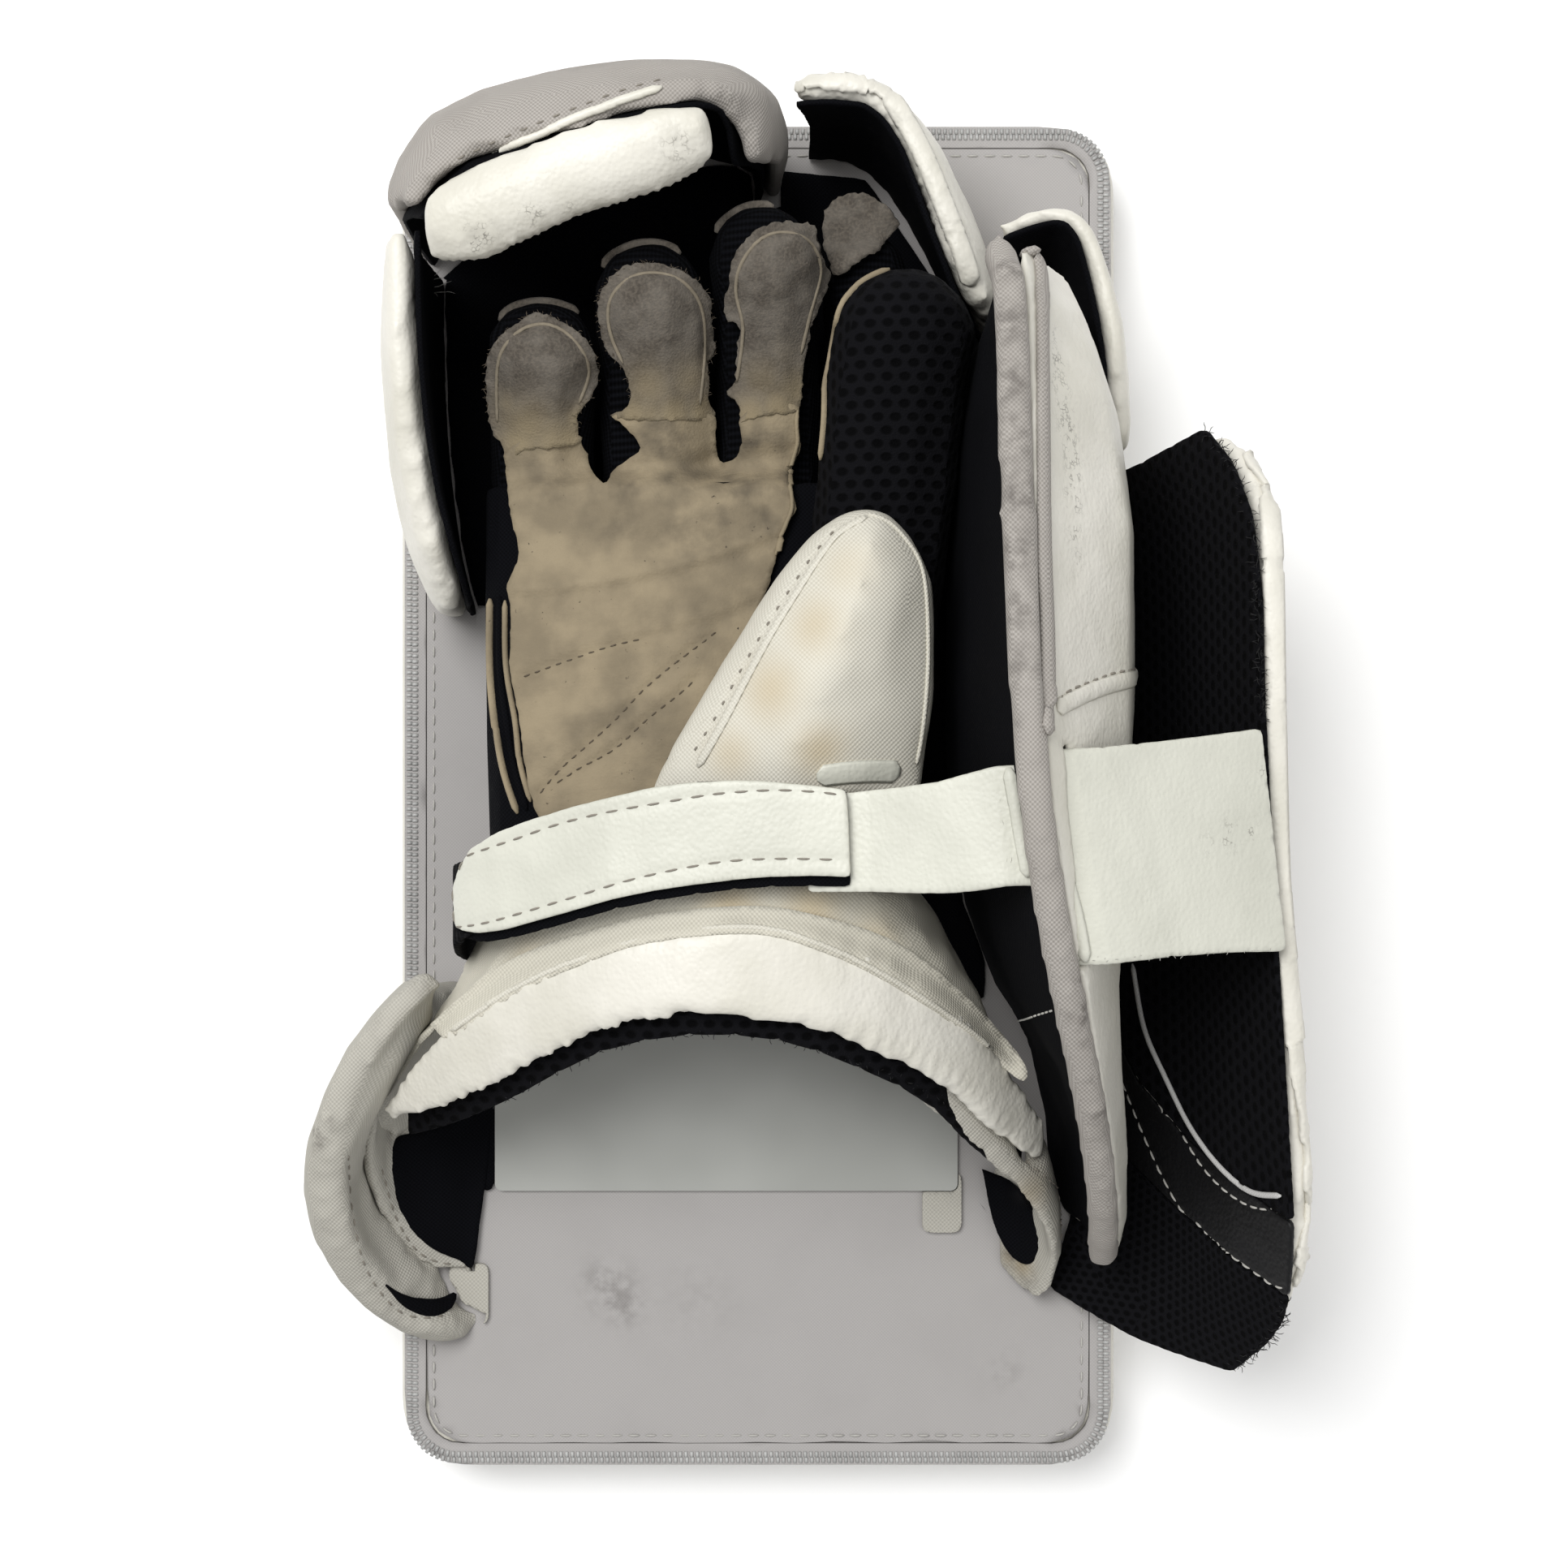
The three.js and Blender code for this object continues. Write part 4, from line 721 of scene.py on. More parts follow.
# %% Dress the sheets
SHEET_FINISH = {
    "box_base": (black_nylon, "black_nylon"),
    # The board's back and zipper are dressed in the nylon that paints the board's shade.
    "board_back_panel": (board_nylon_painted_shade, "white_nylon"),
    "board_zipper": (board_nylon_painted_shade, "white_nylon"),
    "plate_side_strip": (black_nylon, "black_nylon"),
    "tab_little_side": (roll_nylon, "white_nylon"),
    "tab_thumb_side": (roll_nylon, "white_nylon"),
    "palm_panel": (black_nylon, "black_nylon"),
    "thumb_sleeve": (black_mesh, "black_mesh"),
    "finger_little": (black_knit, "black_mesh"),
    "finger_ring": (black_knit, "black_mesh"),
    "finger_middle": (black_knit, "black_mesh"),
    "finger_index": (black_knit, "black_mesh"),
    "little_side_wall_lining": (black_nylon, "black_nylon"),
    "fingertip_hood_lining": (black_nylon, "black_nylon"),
    "index_side_wall_lining": (black_nylon, "black_nylon"),
    "corner_wall_lining": (black_nylon, "black_nylon"),
    "side_wall_mesh": (black_mesh, "black_mesh"),
    "side_wall_band": (black_leather, "black_leather"),
    "side_wall_bumper": (coarse_mesh, "black_mesh"),
    "shield_leather": (white_leather, "white_leather"),
    "shield_pad": (black_nylon, "black_nylon"),
    "strap_backing": (black_nylon, "black_nylon"),
    "strap_loop": (black_webbing, "black_nylon"),
    "tie_strap": (strap_leather, "white_leather"),
    "wide_strap": (strap_leather, "white_leather"),
    "wrist_strap": (strap_leather, "white_leather"),
    "cuff_lining": (black_mesh, "black_mesh"),
    "cuff_gusset": (gusset_nylon_painted_light, "cream_nylon"),
}
for name, (material, slot) in SHEET_FINISH.items():
    dress(sheets[name], material)

# %% Board
board = remeshed(blank("board_soft", "board"), 3.2, 1)
dress(board, white_leather)
plate = frame["nodes"]["wrist_plate"]
plate.data.materials.clear()
plate.data.materials.append(plate_plastic)

# %% [markdown]
# ## Photo places
# A seam or a stain is given by the pixels where the photograph shows it. Each pixel is a line of
# sight, and the place is where that line first meets the piece. A smooth curve runs through the
# marks, and it is cut into even steps.

# %% Lines on surfaces
SEARCH = range(560, 710, 6)  # distances from the camera in mm that hold the whole glove


def place_on(tree, across, down):
    """Where a line of sight meets a surface, or the surface's nearest point to it."""
    way = sight(across, down)
    hit = tree.ray_cast(EYE, way)
    if hit[0] is not None:
        return hit[0], hit[1] if hit[1].z > 0 else -hit[1]
    best = None
    for far in SEARCH:
        near = tree.find_nearest(EYE + way * far * MM)
        if near[0] is not None and (best is None or near[3] < best[3]):
            best = near
    return best[0], best[1]


def curve_through(marks, per_piece=8):
    """Smooth line through marks of any number of coordinates."""
    marks = [np.array(mark, float) for mark in marks]
    ends = [2 * marks[0] - marks[1]] + marks + [2 * marks[-1] - marks[-2]]
    line = []
    for a, b, c, d in zip(ends, ends[1:], ends[2:], ends[3:]):
        for i in range(per_piece):
            t = i / per_piece
            square, cube = 2 * a - 5 * b + 4 * c - d, 3 * b - a - 3 * c + d
            line.append(0.5 * (2 * b + (c - a) * t + square * t**2 + cube * t**3))
    return line + [marks[-1]]


def line_on(tree, marks, step):
    """Places and normals every so many millimetres along a line of photo marks."""
    found = [place_on(tree, *mark) for mark in curve_through(marks)]
    places, normals = [found[0][0].copy()], [found[0][1].copy()]
    left = step * MM
    for (start, _), (end, normal) in zip(found, found[1:]):
        length = (end - start).length
        while length >= left and length > 0:
            start = start + (end - start).normalized() * left
            places.append(start.copy())
            normals.append(normal.copy())
            length -= left
            left = step * MM
        left -= length
    return places, normals


def joined_mesh(name, parts):
    """One mesh from many (points, faces)."""
    points, faces = [], []
    for more, polygons in parts:
        faces += [tuple(index + len(points) for index in polygon) for polygon in polygons]
        points += more
    mesh = bpy.data.meshes.new(name)
    mesh.from_pydata(points, [], faces)
    mesh.update()
    return mesh


def tube_part(places, normals, widths, heights, sides):
    """A tube along places: half its width across, half its height along the normal, in mm."""
    points, faces = [], []
    count = len(places)
    for i, (place, normal) in enumerate(zip(places, normals)):
        ahead = (places[min(i + 1, count - 1)] - places[max(i - 1, 0)]).normalized()
        side = ahead.cross(normal).normalized()
        up = side.cross(ahead).normalized()
        for k in range(sides):
            angle = 2 * math.pi * k / sides
            out = side * math.cos(angle) * widths[i] * MM + up * math.sin(angle) * heights[i] * MM
            points.append(place + out)
    for i in range(count - 1):
        for k in range(sides):
            a, b = i * sides + k, i * sides + (k + 1) % sides
            faces.append((a, b, b + sides, a + sides))
    faces.append(tuple(range(sides - 1, -1, -1)))
    faces.append(tuple((count - 1) * sides + k for k in range(sides)))
    return points, faces


STITCH_DIPS = (-0.25, 0.12, 0.22, 0.12, -0.25)  # mm over the surface, from end to end
STITCH_SHARES = (0.5, 1, 1, 1, 0.5)  # of the thread's thickness


def stitch_row(tree, marks, length, gap, thick):
    """Parts of one row of stitches: short threads that dip into the surface at both ends."""
    places, normals = line_on(tree, marks, length / 4)
    every = 4 + max(1, round(gap / (length / 4)))
    parts = []
    for start in range(0, len(places) - 4, every):
        picked = range(start, start + 5)
        row = [places[i] + normals[i] * dip * MM for i, dip in zip(picked, STITCH_DIPS)]
        sizes = [thick * share for share in STITCH_SHARES]
        parts.append(tube_part(row, [normals[i] for i in picked], sizes, sizes, 5))
    return parts


def far_from(points, places):
    """Distance of each point to a line of places, and which place is nearest."""
    line = np.array([list(place) for place in places])
    nearest = np.full(len(points), 1e9)
    index = np.zeros(len(points), int)
    for i, place in enumerate(line):
        distance = np.linalg.norm(points - place, axis=1)
        closer = distance < nearest
        nearest[closer] = distance[closer]
        index[closer] = i
    return nearest, index


def groove(piece, marks, depth, width):
    """Presses a line into a piece (a negative depth raises a ridge); millimetres."""
    places, _ = line_on(tree_of(piece.name), marks, 1.0)
    distance, _ = far_from(points_of(piece), places)
    press = depth * MM * np.exp(-((distance / (width * MM)) ** 2))
    shift(piece, -normals_of(piece) * press[:, None])


def pucker(piece, marks, depth, pitch, reach):
    """Small gathers along a sewn edge."""
    places, _ = line_on(tree_of(piece.name), marks, 0.5)
    distance, index = far_from(points_of(piece), places)
    swing = np.sin(index * 0.5 * 2 * math.pi / pitch + 1.7 * np.sin(index * 0.13))
    height = depth * MM * swing * np.exp(-((distance / (reach * MM)) ** 2))
    shift(piece, normals_of(piece) * height[:, None])


def mark_spots(piece, kind, spots):
    """Paints wear, dirt (on the palm's top also painted shade) or stain round photo marks:
    (across, down, radius in mm, strength).
    """
    tree = tree_of(piece.name)
    values = np.zeros(len(piece.data.vertices))
    if kind in piece.data.attributes:
        piece.data.attributes[kind].data.foreach_get("value", values)
    points = points_of(piece)
    for across, down, radius, strength in spots:
        centre = np.array(place_on(tree, across, down)[0])
        distance = np.linalg.norm(points - centre, axis=1) / (radius * MM)
        values = np.maximum(values, strength * np.exp(-(distance**2) * 1.5))
    layer = piece.data.attributes.get(kind) or piece.data.attributes.new(kind, "FLOAT", "POINT")
    layer.data.foreach_set("value", values.astype(np.float32))


# %% [markdown]
# ## Palm and finger patches
# The palm is one thin hide, cut with a scalloped outline, and each finger has a suede patch that
# carries it on to the tip. They lie on the hand like wet paper, so they are made that way: the
# cut is drawn over the photograph, filled with small triangles, and every corner is let down its
# line of sight onto the glove. Smoothing the depths keeps the hide from sinking into gaps.

# %% Lay a hide over the glove
ROW_SHARE = 0.87  # height of an even triangle, as a share of its side
RIM_SHARE = 0.6  # how near to the edge a corner may lie, as a share of a cell
FREE_ROUNDS = 4  # last rounds of smoothing, which may sink a little under the first depths


def even_ring(marks, step, ragged=0.0, seed=0):
    """Closed outline through marks, cut into even steps in pixels, with a ragged edge."""
    closed = curve_through(list(marks) + [marks[0]], 6)
    ring, left = [closed[0]], step
    for start, end in zip(closed, closed[1:]):
        length = float(np.linalg.norm(end - start))
        while length >= left:
            start = start + (end - start) / length * left
            ring.append(start)
            length -= left
            left = step
        left -= length
    chance = random.Random(seed)
    return [mark + np.array([chance.uniform(-ragged, ragged),
        chance.uniform(-ragged, ragged)]) for mark in ring[:-1]]


def inside(ring, across, down):
    hit = False
    for (ax, ay), (bx, by) in zip(ring, ring[1:] + ring[:1]):
        if (ay > down) != (by > down) and across < (bx - ax) * (down - ay) / (by - ay) + ax:
            hit = not hit
    return hit


def lay_hide(name, marks, carriers, cell=6.0, thick=1.3, lift=0.3, ragged=0.6, rounds=14, seed=1):
    """A thin hide cut to photo marks and laid on its carriers: cell in pixels, the rest in mm."""
    tree = tree_of(*carriers)
    ring = [tuple(mark) for mark in even_ring(marks, cell, ragged, seed)]
    spots = list(ring)
    low, high = np.min(ring, axis=0), np.max(ring, axis=0)
    row = 0
    down = low[1] + cell / 2
    while down < high[1]:
        across = low[0] + (cell / 2 if row % 2 else 0)
        while across < high[0]:
            near = min((across - x) ** 2 + (down - y) ** 2 for x, y in ring)
            if near > (cell * RIM_SHARE) ** 2 and inside(ring, across, down):
                spots.append((across, down))
            across += cell
        down += cell * ROW_SHARE
        row += 1
    flat = [Vector((x, -y)) for x, y in spots]
    loop = list(range(len(ring)))
    winding = sum(a[0] * -b[1] - b[0] * -a[1] for a, b in zip(ring, ring[1:] + ring[:1]))
    cut = geometry.delaunay_2d_cdt(flat, [], [loop if winding > 0 else loop[::-1]], 1, 1e-3)
    flat, faces = cut[0], [face for face in cut[2] if len(face) == 3]
    depths = []
    for spot in flat:
        hit = tree.ray_cast(EYE, sight(spot.x, -spot.y))
        depths.append((hit[0] - EYE).length if hit[0] is not None else np.nan)
    raw = np.array(depths)
    pairs = np.array([(face[i], face[(i + 1) % 3]) for face in faces for i in range(3)])
    depth = raw.copy()
    for _ in range(200):
        if not np.isnan(depth).any():
            break
        known = ~np.isnan(depth)
        total, count = np.zeros(len(depth)), np.zeros(len(depth))
        for a, b in (pairs.T, pairs.T[::-1]):
            np.add.at(total, a[known[b]], depth[b[known[b]]])
            np.add.at(count, a[known[b]], 1)
        grown = ~known & (count > 0)
        depth[grown] = total[grown] / count[grown]
    ceiling = depth.copy()
    for done in range(rounds):
        total, count = np.zeros(len(depth)), np.zeros(len(depth))
        for a, b in (pairs.T, pairs.T[::-1]):
            np.add.at(total, a, depth[b])
            np.add.at(count, a, 1)
        depth = 0.5 * depth + 0.5 * total / np.maximum(count, 1)
        if done < rounds - FREE_ROUNDS:
            depth = np.minimum(depth, ceiling)
    top = [EYE + sight(spot.x, -spot.y) * (far - lift * MM) for spot, far in zip(flat, depth)]
    under = [EYE + sight(spot.x, -spot.y) * (far - lift * MM + thick * MM) for spot,
        far in zip(flat, depth)]
    count = len(flat)
    used = {}
    for face in faces:
        for i in range(3):
            used[face[i], face[(i + 1) % 3]] = True
    rim = [edge for edge in used if (edge[1], edge[0]) not in used]
    polygons = [tuple(face) for face in faces]
    polygons += [tuple(count + i for i in reversed(face)) for face in faces]
    polygons += [(a, a + count, b + count, b) for a, b in rim]
    mesh = bpy.data.meshes.new(name)
    mesh.from_pydata([tuple(p) for p in top + under], [], polygons)
    mesh.update()
    hide = piece_from(name, mesh)
    cut_area = sum((flat[f[1]] - flat[f[0]]).cross(flat[f[2]] - flat[f[0]]) / 2 for f in faces)
    print(name, "cut area in square pixels:", round(abs(cut_area)), "triangles:", len(polygons))
    return hide


HAND = ("palm_panel", "hand_back", "finger_little", "finger_ring", "finger_middle", "finger_index",
        "finger_pad_little", "finger_pad_ring", "finger_pad_middle", "finger_pad_index", "thumb_sleeve")
PALM_CUT = [
    (622, 560), (640, 545), (680, 545), (712, 540), (718, 552), (725, 560), (727, 575), (737, 588),
        (747, 595),
    (757, 578), (786, 557), (787, 546), (769, 525), (753, 512), (775, 512), (820, 514), (878, 511),
        (882, 539),
    (886, 566), (893, 569), (907, 563), (914, 541), (912, 515), (940, 500), (983, 500), (981, 525),
        (986, 546),
    (984, 560), (972, 585), (974, 606), (980, 626), (968, 647), (960, 672), (953, 700), (925, 780),
        (880, 870),
    (840, 960), (800, 1030), (740, 1040), (690, 1036), (660, 1000), (645, 932), (641, 890), (628, 824),
    (630, 766), (626, 720), (638, 690), (638, 665), (632, 648), (626, 600),
]
LITTLE_CUT = [
    (622, 572), (620, 550), (607, 535), (601, 506), (599, 465), (602, 440), (615, 417), (636, 398),
        (657, 387),
    (682, 391), (707, 405), (727, 425), (736, 448), (738, 465), (729, 490), (715, 506), (711, 527),
        (714, 545),
    (680, 552), (645, 556),
]
RING_CUT = [
    (752, 513), (773, 502), (777, 490), (769, 456), (750, 436), (740, 407), (736, 378), (748, 349),
        (769, 330),
    (798, 324), (831, 329), (858, 344), (873, 365), (877, 402), (881, 431), (872, 448), (872, 473),
        (872, 494),
    (879, 514), (830, 519), (785, 517),
]
MIDDLE_CUT = [
    (912, 520), (910, 498), (894, 483), (906, 469), (908, 431), (910, 402), (894, 392), (896, 357),
        (904, 320),
    (922, 291), (947, 276), (972, 274), (1003, 277), (1010, 299), (1016, 320), (1022, 337), (1018, 357),
    (1007, 382), (999, 411), (991, 456), (984, 505), (950, 510),
]
INDEX_CUT = [
    (1013, 274), (1018, 257), (1032, 243), (1049, 239), (1070, 240), (1090, 253), (1105, 270),
        (1107, 280),
    (1096, 290), (1086, 306), (1065, 316), (1040, 336), (1028, 338), (1022, 322), (1016, 300),
]
palm = lay_hide("palm_hide", PALM_CUT, HAND, cell=6, lift=2.2, thick=2.7, ragged=0.8, rounds=18)
dress(palm, palm_leather, replaces=())
patches = {}
for finger, marks, width, length in (
    ("little", LITTLE_CUT, 30, 42), ("ring", RING_CUT, 32, 42), ("middle", MIDDLE_CUT, 30, 52),
        ("index", INDEX_CUT, 21, 24)
):
    patch = lay_hide("finger_patch_" + finger, marks, HAND, cell=5, lift=2.6, thick=2.9, ragged=1.5,
        rounds=10, seed=len(finger))
    cut = (width, length, None, "stretched", ["finger_" + finger + "_soft"])
    patches[finger] = dress(patch, suede, replaces=("finger_pad_" + finger,))

# %% [markdown]
# ## Linings that show
# The gusset runs right up to the cuff, and inside the cuff's two ends one looks at black lining.
# These are thin cloths cut and laid in the same way as the palm.

# %% Gusset fold and cuff linings
LAID_CLOTHS = {
    # name: (material, slot, carriers, photo marks, cut)
    "gusset_fold": (gusset_nylon_painted_light, "cream_nylon", ("cuff_gusset_soft", "cuff_pad_soft"),
        [(530, 1262), (600, 1200), (660, 1168), (730, 1145), (806, 1126), (930, 1116), (1016, 1130),
        (1099, 1158), (1160, 1200), (1215, 1252),
         (1262, 1310), (1255, 1330), (1182, 1268), (1099, 1214), (1016, 1174), (930, 1151), (806, 1161),
         (723, 1186), (632, 1228), (557, 1278)],
        (22, 170, 2000, "stretched", ["cuff_pad_soft"])),
    "cuff_end_lining": (black_nylon, "black_nylon", ("cuff_roll_inner_soft",),
        [(480, 1432), (488, 1402), (530, 1392), (575, 1374), (602, 1366), (601, 1430), (592, 1500),
        (583, 1560), (566, 1553), (528, 1535), (495, 1496)],
        (30, 40, None, "stretched", ["cuff_roll_inner_soft"])),
    "cuff_roll_gap": (black_nylon, "black_nylon", ("cuff_roll_outer_soft", "cuff_roll_inner_soft"),
        [(470, 1578), (500, 1596), (538, 1600), (562, 1592), (556, 1612), (530, 1622), (498, 1610)],
        (10, 20, 110, "stretched", ["cuff_roll_outer_soft"])),
    "loop_lining": (black_nylon, "black_nylon", ("cuff_roll_thumb_side_soft",),
        [(1210, 1440), (1246, 1456), (1270, 1485), (1281, 1520), (1280, 1545), (1265, 1558),
        (1244, 1545), (1224, 1506)],
        (18, 28, 400, "stretched", ["cuff_roll_thumb_side_soft"])),
}
for name, (material, slot, carriers, marks, cut) in LAID_CLOTHS.items():
    cloth = lay_hide(name, marks, carriers, cell=6, lift=0.5, thick=0.9, ragged=0.3, rounds=12)
    print(name, "half its surface in mm2:",
        round(sum(face.area for face in cloth.data.polygons) / 2 / MM**2))
    dress(cloth, material, replaces=())

# %% [markdown]
# ## Creases, puckers and folds
# Use has pressed creases into the palm, and every sewn edge gathers the leather a little. A crease
# is a line of photo marks that pushes the surface in or lifts it, fading out to both sides.

# %% Palm creases and patch rims
for marks, depth, width in (
    ([(632, 726), (700, 722), (800, 704), (880, 682), (962, 652)], -0.9, 2.2),
    ([(632, 738), (700, 733), (800, 716), (880, 695), (955, 668)], 0.7, 2.0),
    ([(645, 834), (700, 814), (757, 795), (820, 782), (885, 766), (945, 738)], 0.8, 1.6),
    ([(700, 560), (760, 625), (860, 600), (970, 560)], 0.6, 3.5),
    ([(640, 620), (700, 640), (800, 640), (960, 610)], -0.6, 4.0),
    ([(665, 978), (690, 948), (756, 888), (839, 811), (889, 774)], 0.6, 1.3),
    ([(686, 965), (756, 923), (798, 886), (864, 830)], 0.6, 1.3),
):
    groove(palm, marks, depth, width)
rumple(palm, 0.35, 14, 3, stretch=(0.7, 1.5, 1))
rumple(palm, 0.2, 5, 4)
for number, patch in enumerate(patches.values()):
    rumple(patch, 0.7, 9, 10 + number)
    rumple(patch, 0.25, 3, 20 + number)
for finger, marks in (
    ("little", [(614, 490), (612, 450), (630, 415), (657, 400), (690, 404), (722, 440), (724, 470),
        (708, 505)]),
    ("ring", [(765, 440), (752, 400), (752, 365), (775, 340), (800, 334), (835, 341), (862, 375),
        (868, 425)]),
    ("middle", [(905, 385), (908, 350), (918, 318), (945, 288), (975, 284), (1000, 292), (1012, 325)]),
):
    groove(patches[finger], marks, 0.55, 1.1)

# %% Puckered edges and wrinkles
groove(pads["fingertip_bar"], [(537, 336), (620, 318), (700, 280), (790, 240), (885, 195)], 0.3, 1.5)
pucker(pads["fingertip_bar"], [(540, 338), (620, 322), (700, 285), (790, 245), (880, 205)], 0.35, 2.6,
    3.0)
pucker(pads["cuff_pad"], [(540, 1375), (600, 1350), (648, 1315), (715, 1290), (785, 1270), (852, 1257)],
    0.3, 3.7, 2.6)
pucker(pads["cuff_pad"], [(1016, 1268), (1099, 1286), (1165, 1320), (1202, 1349), (1248, 1398),
    (1294, 1436)], 0.16, 4.1, 2.4)
pucker(pads["little_side_wall"], [(510, 357), (522, 423), (528, 506), (545, 606), (561, 697)], 0.4, 3.0,
    2.5)
pucker(pads["index_side_wall"], [(924, 127), (1007, 120), (1065, 112), (1115, 183), (1144, 257),
    (1181, 378)], 0.4, 3.0, 2.5)
rumple(pads["cuff_pad"], 0.35, 16, 5, stretch=(1.4, 0.8, 1))
rumple(pads["cuff_pad"], 0.12, 2.2, 6)
rumple(pads["fingertip_bar"], 0.3, 12, 7)
rumple(pads["fingertip_bar"], 0.08, 2.0, 8)
for number, name in enumerate(("cuff_roll_inner", "cuff_roll_outer", "cuff_roll_thumb_side",
    "thumb_guard")):
    rumple(pads[name], 0.5, 12, 30 + number)
for number, name in enumerate(("little_side_wall", "index_side_wall", "corner_wall", "side_wall",
    "fingertip_hood")):
    rumple(pads[name], 0.5, 16, 40 + number)
    rumple(pads[name], 0.12, 4, 50 + number)
rumple(sheets["cuff_gusset"], 0.9, 11, 60, stretch=(0.6, 1.6, 1))
rumple(sheets["shield_leather"], 0.5, 20, 61, stretch=(1, 0.6, 1))
rumple(sheets["shield_leather"], 0.15, 5, 62)
rumple(sheets["shield_pad"], 0.5, 18, 63)
rumple(sheets["thumb_sleeve"], 0.6, 12, 64)
for number, name in enumerate(("wrist_strap", "tie_strap", "wide_strap")):
    rumple(sheets[name], 0.25, 12, 70 + number)
rumple(sheets["board_back_panel"], 0.8, 14, 80, stretch=(1, 0.22, 1),
    where=lambda points: np.clip((-0.14 - points[:, 1]) / 0.03, 0, 1))
for number, name in enumerate(("finger_little", "finger_ring", "finger_middle", "finger_index")):
    rumple(sheets[name], 0.4, 6, 90 + number)

# %% [markdown]
# ## Stitching
# A lock stitch shows as short threads in a row, each dipping into the cloth at both ends, in a
# shallow groove that the pull of the thread has made. Real stitches are 3 to 4 mm long and 0.5 mm
# thick, which is also what the photograph shows.

# %% Seams
SEAMS = {
    # name: (carrier, thread, stitch mm, gap mm, thread mm, rows of photo marks)
    "wrist_strap_stitches": ("wrist_strap_soft", grey_thread, 3.6, 1.4, 0.28, [
        [(558, 1139), (551, 1118), (554, 1089), (558, 1073), (566, 1060), (587, 1050), (632, 1035),
        (690, 1015),
         (752, 1000), (815, 989), (877, 979), (939, 974), (997, 975), (1046, 981)],
        [(560, 1143), (599, 1137), (649, 1123), (711, 1104), (773, 1085), (835, 1071), (898, 1061),
        (960, 1058),
         (1022, 1059), (1046, 1061)]]),
    "palm_stitches": ("palm_hide", brown_thread, 2.0, 1.2, 0.2, [
        [(645, 834), (700, 814), (757, 795), (800, 786)],
        [(665, 978), (690, 948), (723, 919), (757, 888), (798, 845), (840, 811), (889, 774)],
        [(686, 965), (715, 946), (757, 923), (798, 886), (840, 853), (864, 830)]]),
    "guard_stitches": ("thumb_guard_soft", grey_thread, 1.3, 3.4, 0.3, [
        [(856, 925), (883, 882), (912, 828), (947, 768), (974, 726), (1003, 683), (1030, 652)]]),
    "hood_stitches": ("fingertip_hood_soft", grey_thread, 2.2, 2.4, 0.25, [
        [(563, 196), (615, 172), (665, 151), (715, 131), (765, 112), (818, 97)]]),
    "shield_hem_stitches": ("shield_leather_soft", grey_thread, 3.2, 1.4, 0.3, [
        [(1303, 864), (1316, 852), (1341, 841), (1374, 829), (1412, 822)]]),
    "side_wall_stitches": ("side_wall_band_soft", white_thread, 3.4, 1.0, 0.32, [
        [(1391, 1208), (1416, 1299), (1449, 1382), (1490, 1448), (1540, 1486), (1592, 1490)],
        [(1382, 1332), (1416, 1415), (1449, 1481), (1490, 1539), (1532, 1577), (1592, 1589)]]),
    "shield_pad_stitches": ("shield_pad_soft", white_thread, 2.8, 1.4, 0.3, [
        [(1247, 1259), (1262, 1256), (1280, 1250), (1300, 1244)]]),
    "outer_roll_stitches": ("cuff_roll_outer_soft", grey_thread, 2.6, 2.0, 0.25, [
        [(429, 1423), (433, 1485), (445, 1547), (466, 1589), (495, 1618), (528, 1624), (550, 1620)]]),
    "inner_roll_stitches": ("cuff_roll_inner_soft", grey_thread, 2.6, 1.6, 0.25, [
        [(470, 1440), (487, 1498), (512, 1539), (537, 1554), (560, 1558)]]),
    "loop_stitches": ("cuff_roll_thumb_side_soft", grey_thread, 2.6, 1.6, 0.25, [
        [(1260, 1427), (1290, 1452), (1306, 1469), (1318, 1506), (1322, 1535)]]),
}
SEAM_GROOVE = (0.35, 0.9)  # depth and half width in mm
for name, (carrier, thread, length, gap, thick, rows) in SEAMS.items():
    carrier_piece = bpy.data.objects[carrier]
    for marks in rows:
        groove(carrier_piece, marks, *SEAM_GROOVE)
    tree = tree_of(carrier)
    parts = [part for marks in rows for part in stitch_row(tree, marks, length, gap, thick)]
    piece = piece_from(name, joined_mesh(name, parts))
    dress(piece, thread, replaces=())

# %% [markdown]
# ## Trims
# Bindings, piping and folded edges are narrow strips that follow a line on their carrier. Each one
# is a flat tube drawn along photo marks: half its width, half its height and how far it is lifted.

# %% Strips and piping


def trim(name, carriers, marks, width, height, lift, material, sides=8, taper=True):
    places, normals = line_on(tree_of(*carriers), marks, 0.9)
    heights = [place.copy() for place in places]
    for _ in range(12):
        heights = [heights[0]] + [(a + b * 2 + c) / 4 for a, b,
            c in zip(heights, heights[1:], heights[2:])] + [heights[-1]]
    lifted = [place + normal * lift * MM for place, normal in zip(heights, normals)]
    count = len(lifted)
    share = [min(1, 0.35 + i / 3, 0.35 + (count - 1 - i) / 3) if taper else 1 for i in range(count)]
    part = tube_part(lifted, normals, [width * s for s in share], [height * s for s in share], sides)
    piece = piece_from(name, joined_mesh(name, [part]))
    return dress(piece, material, replaces=())


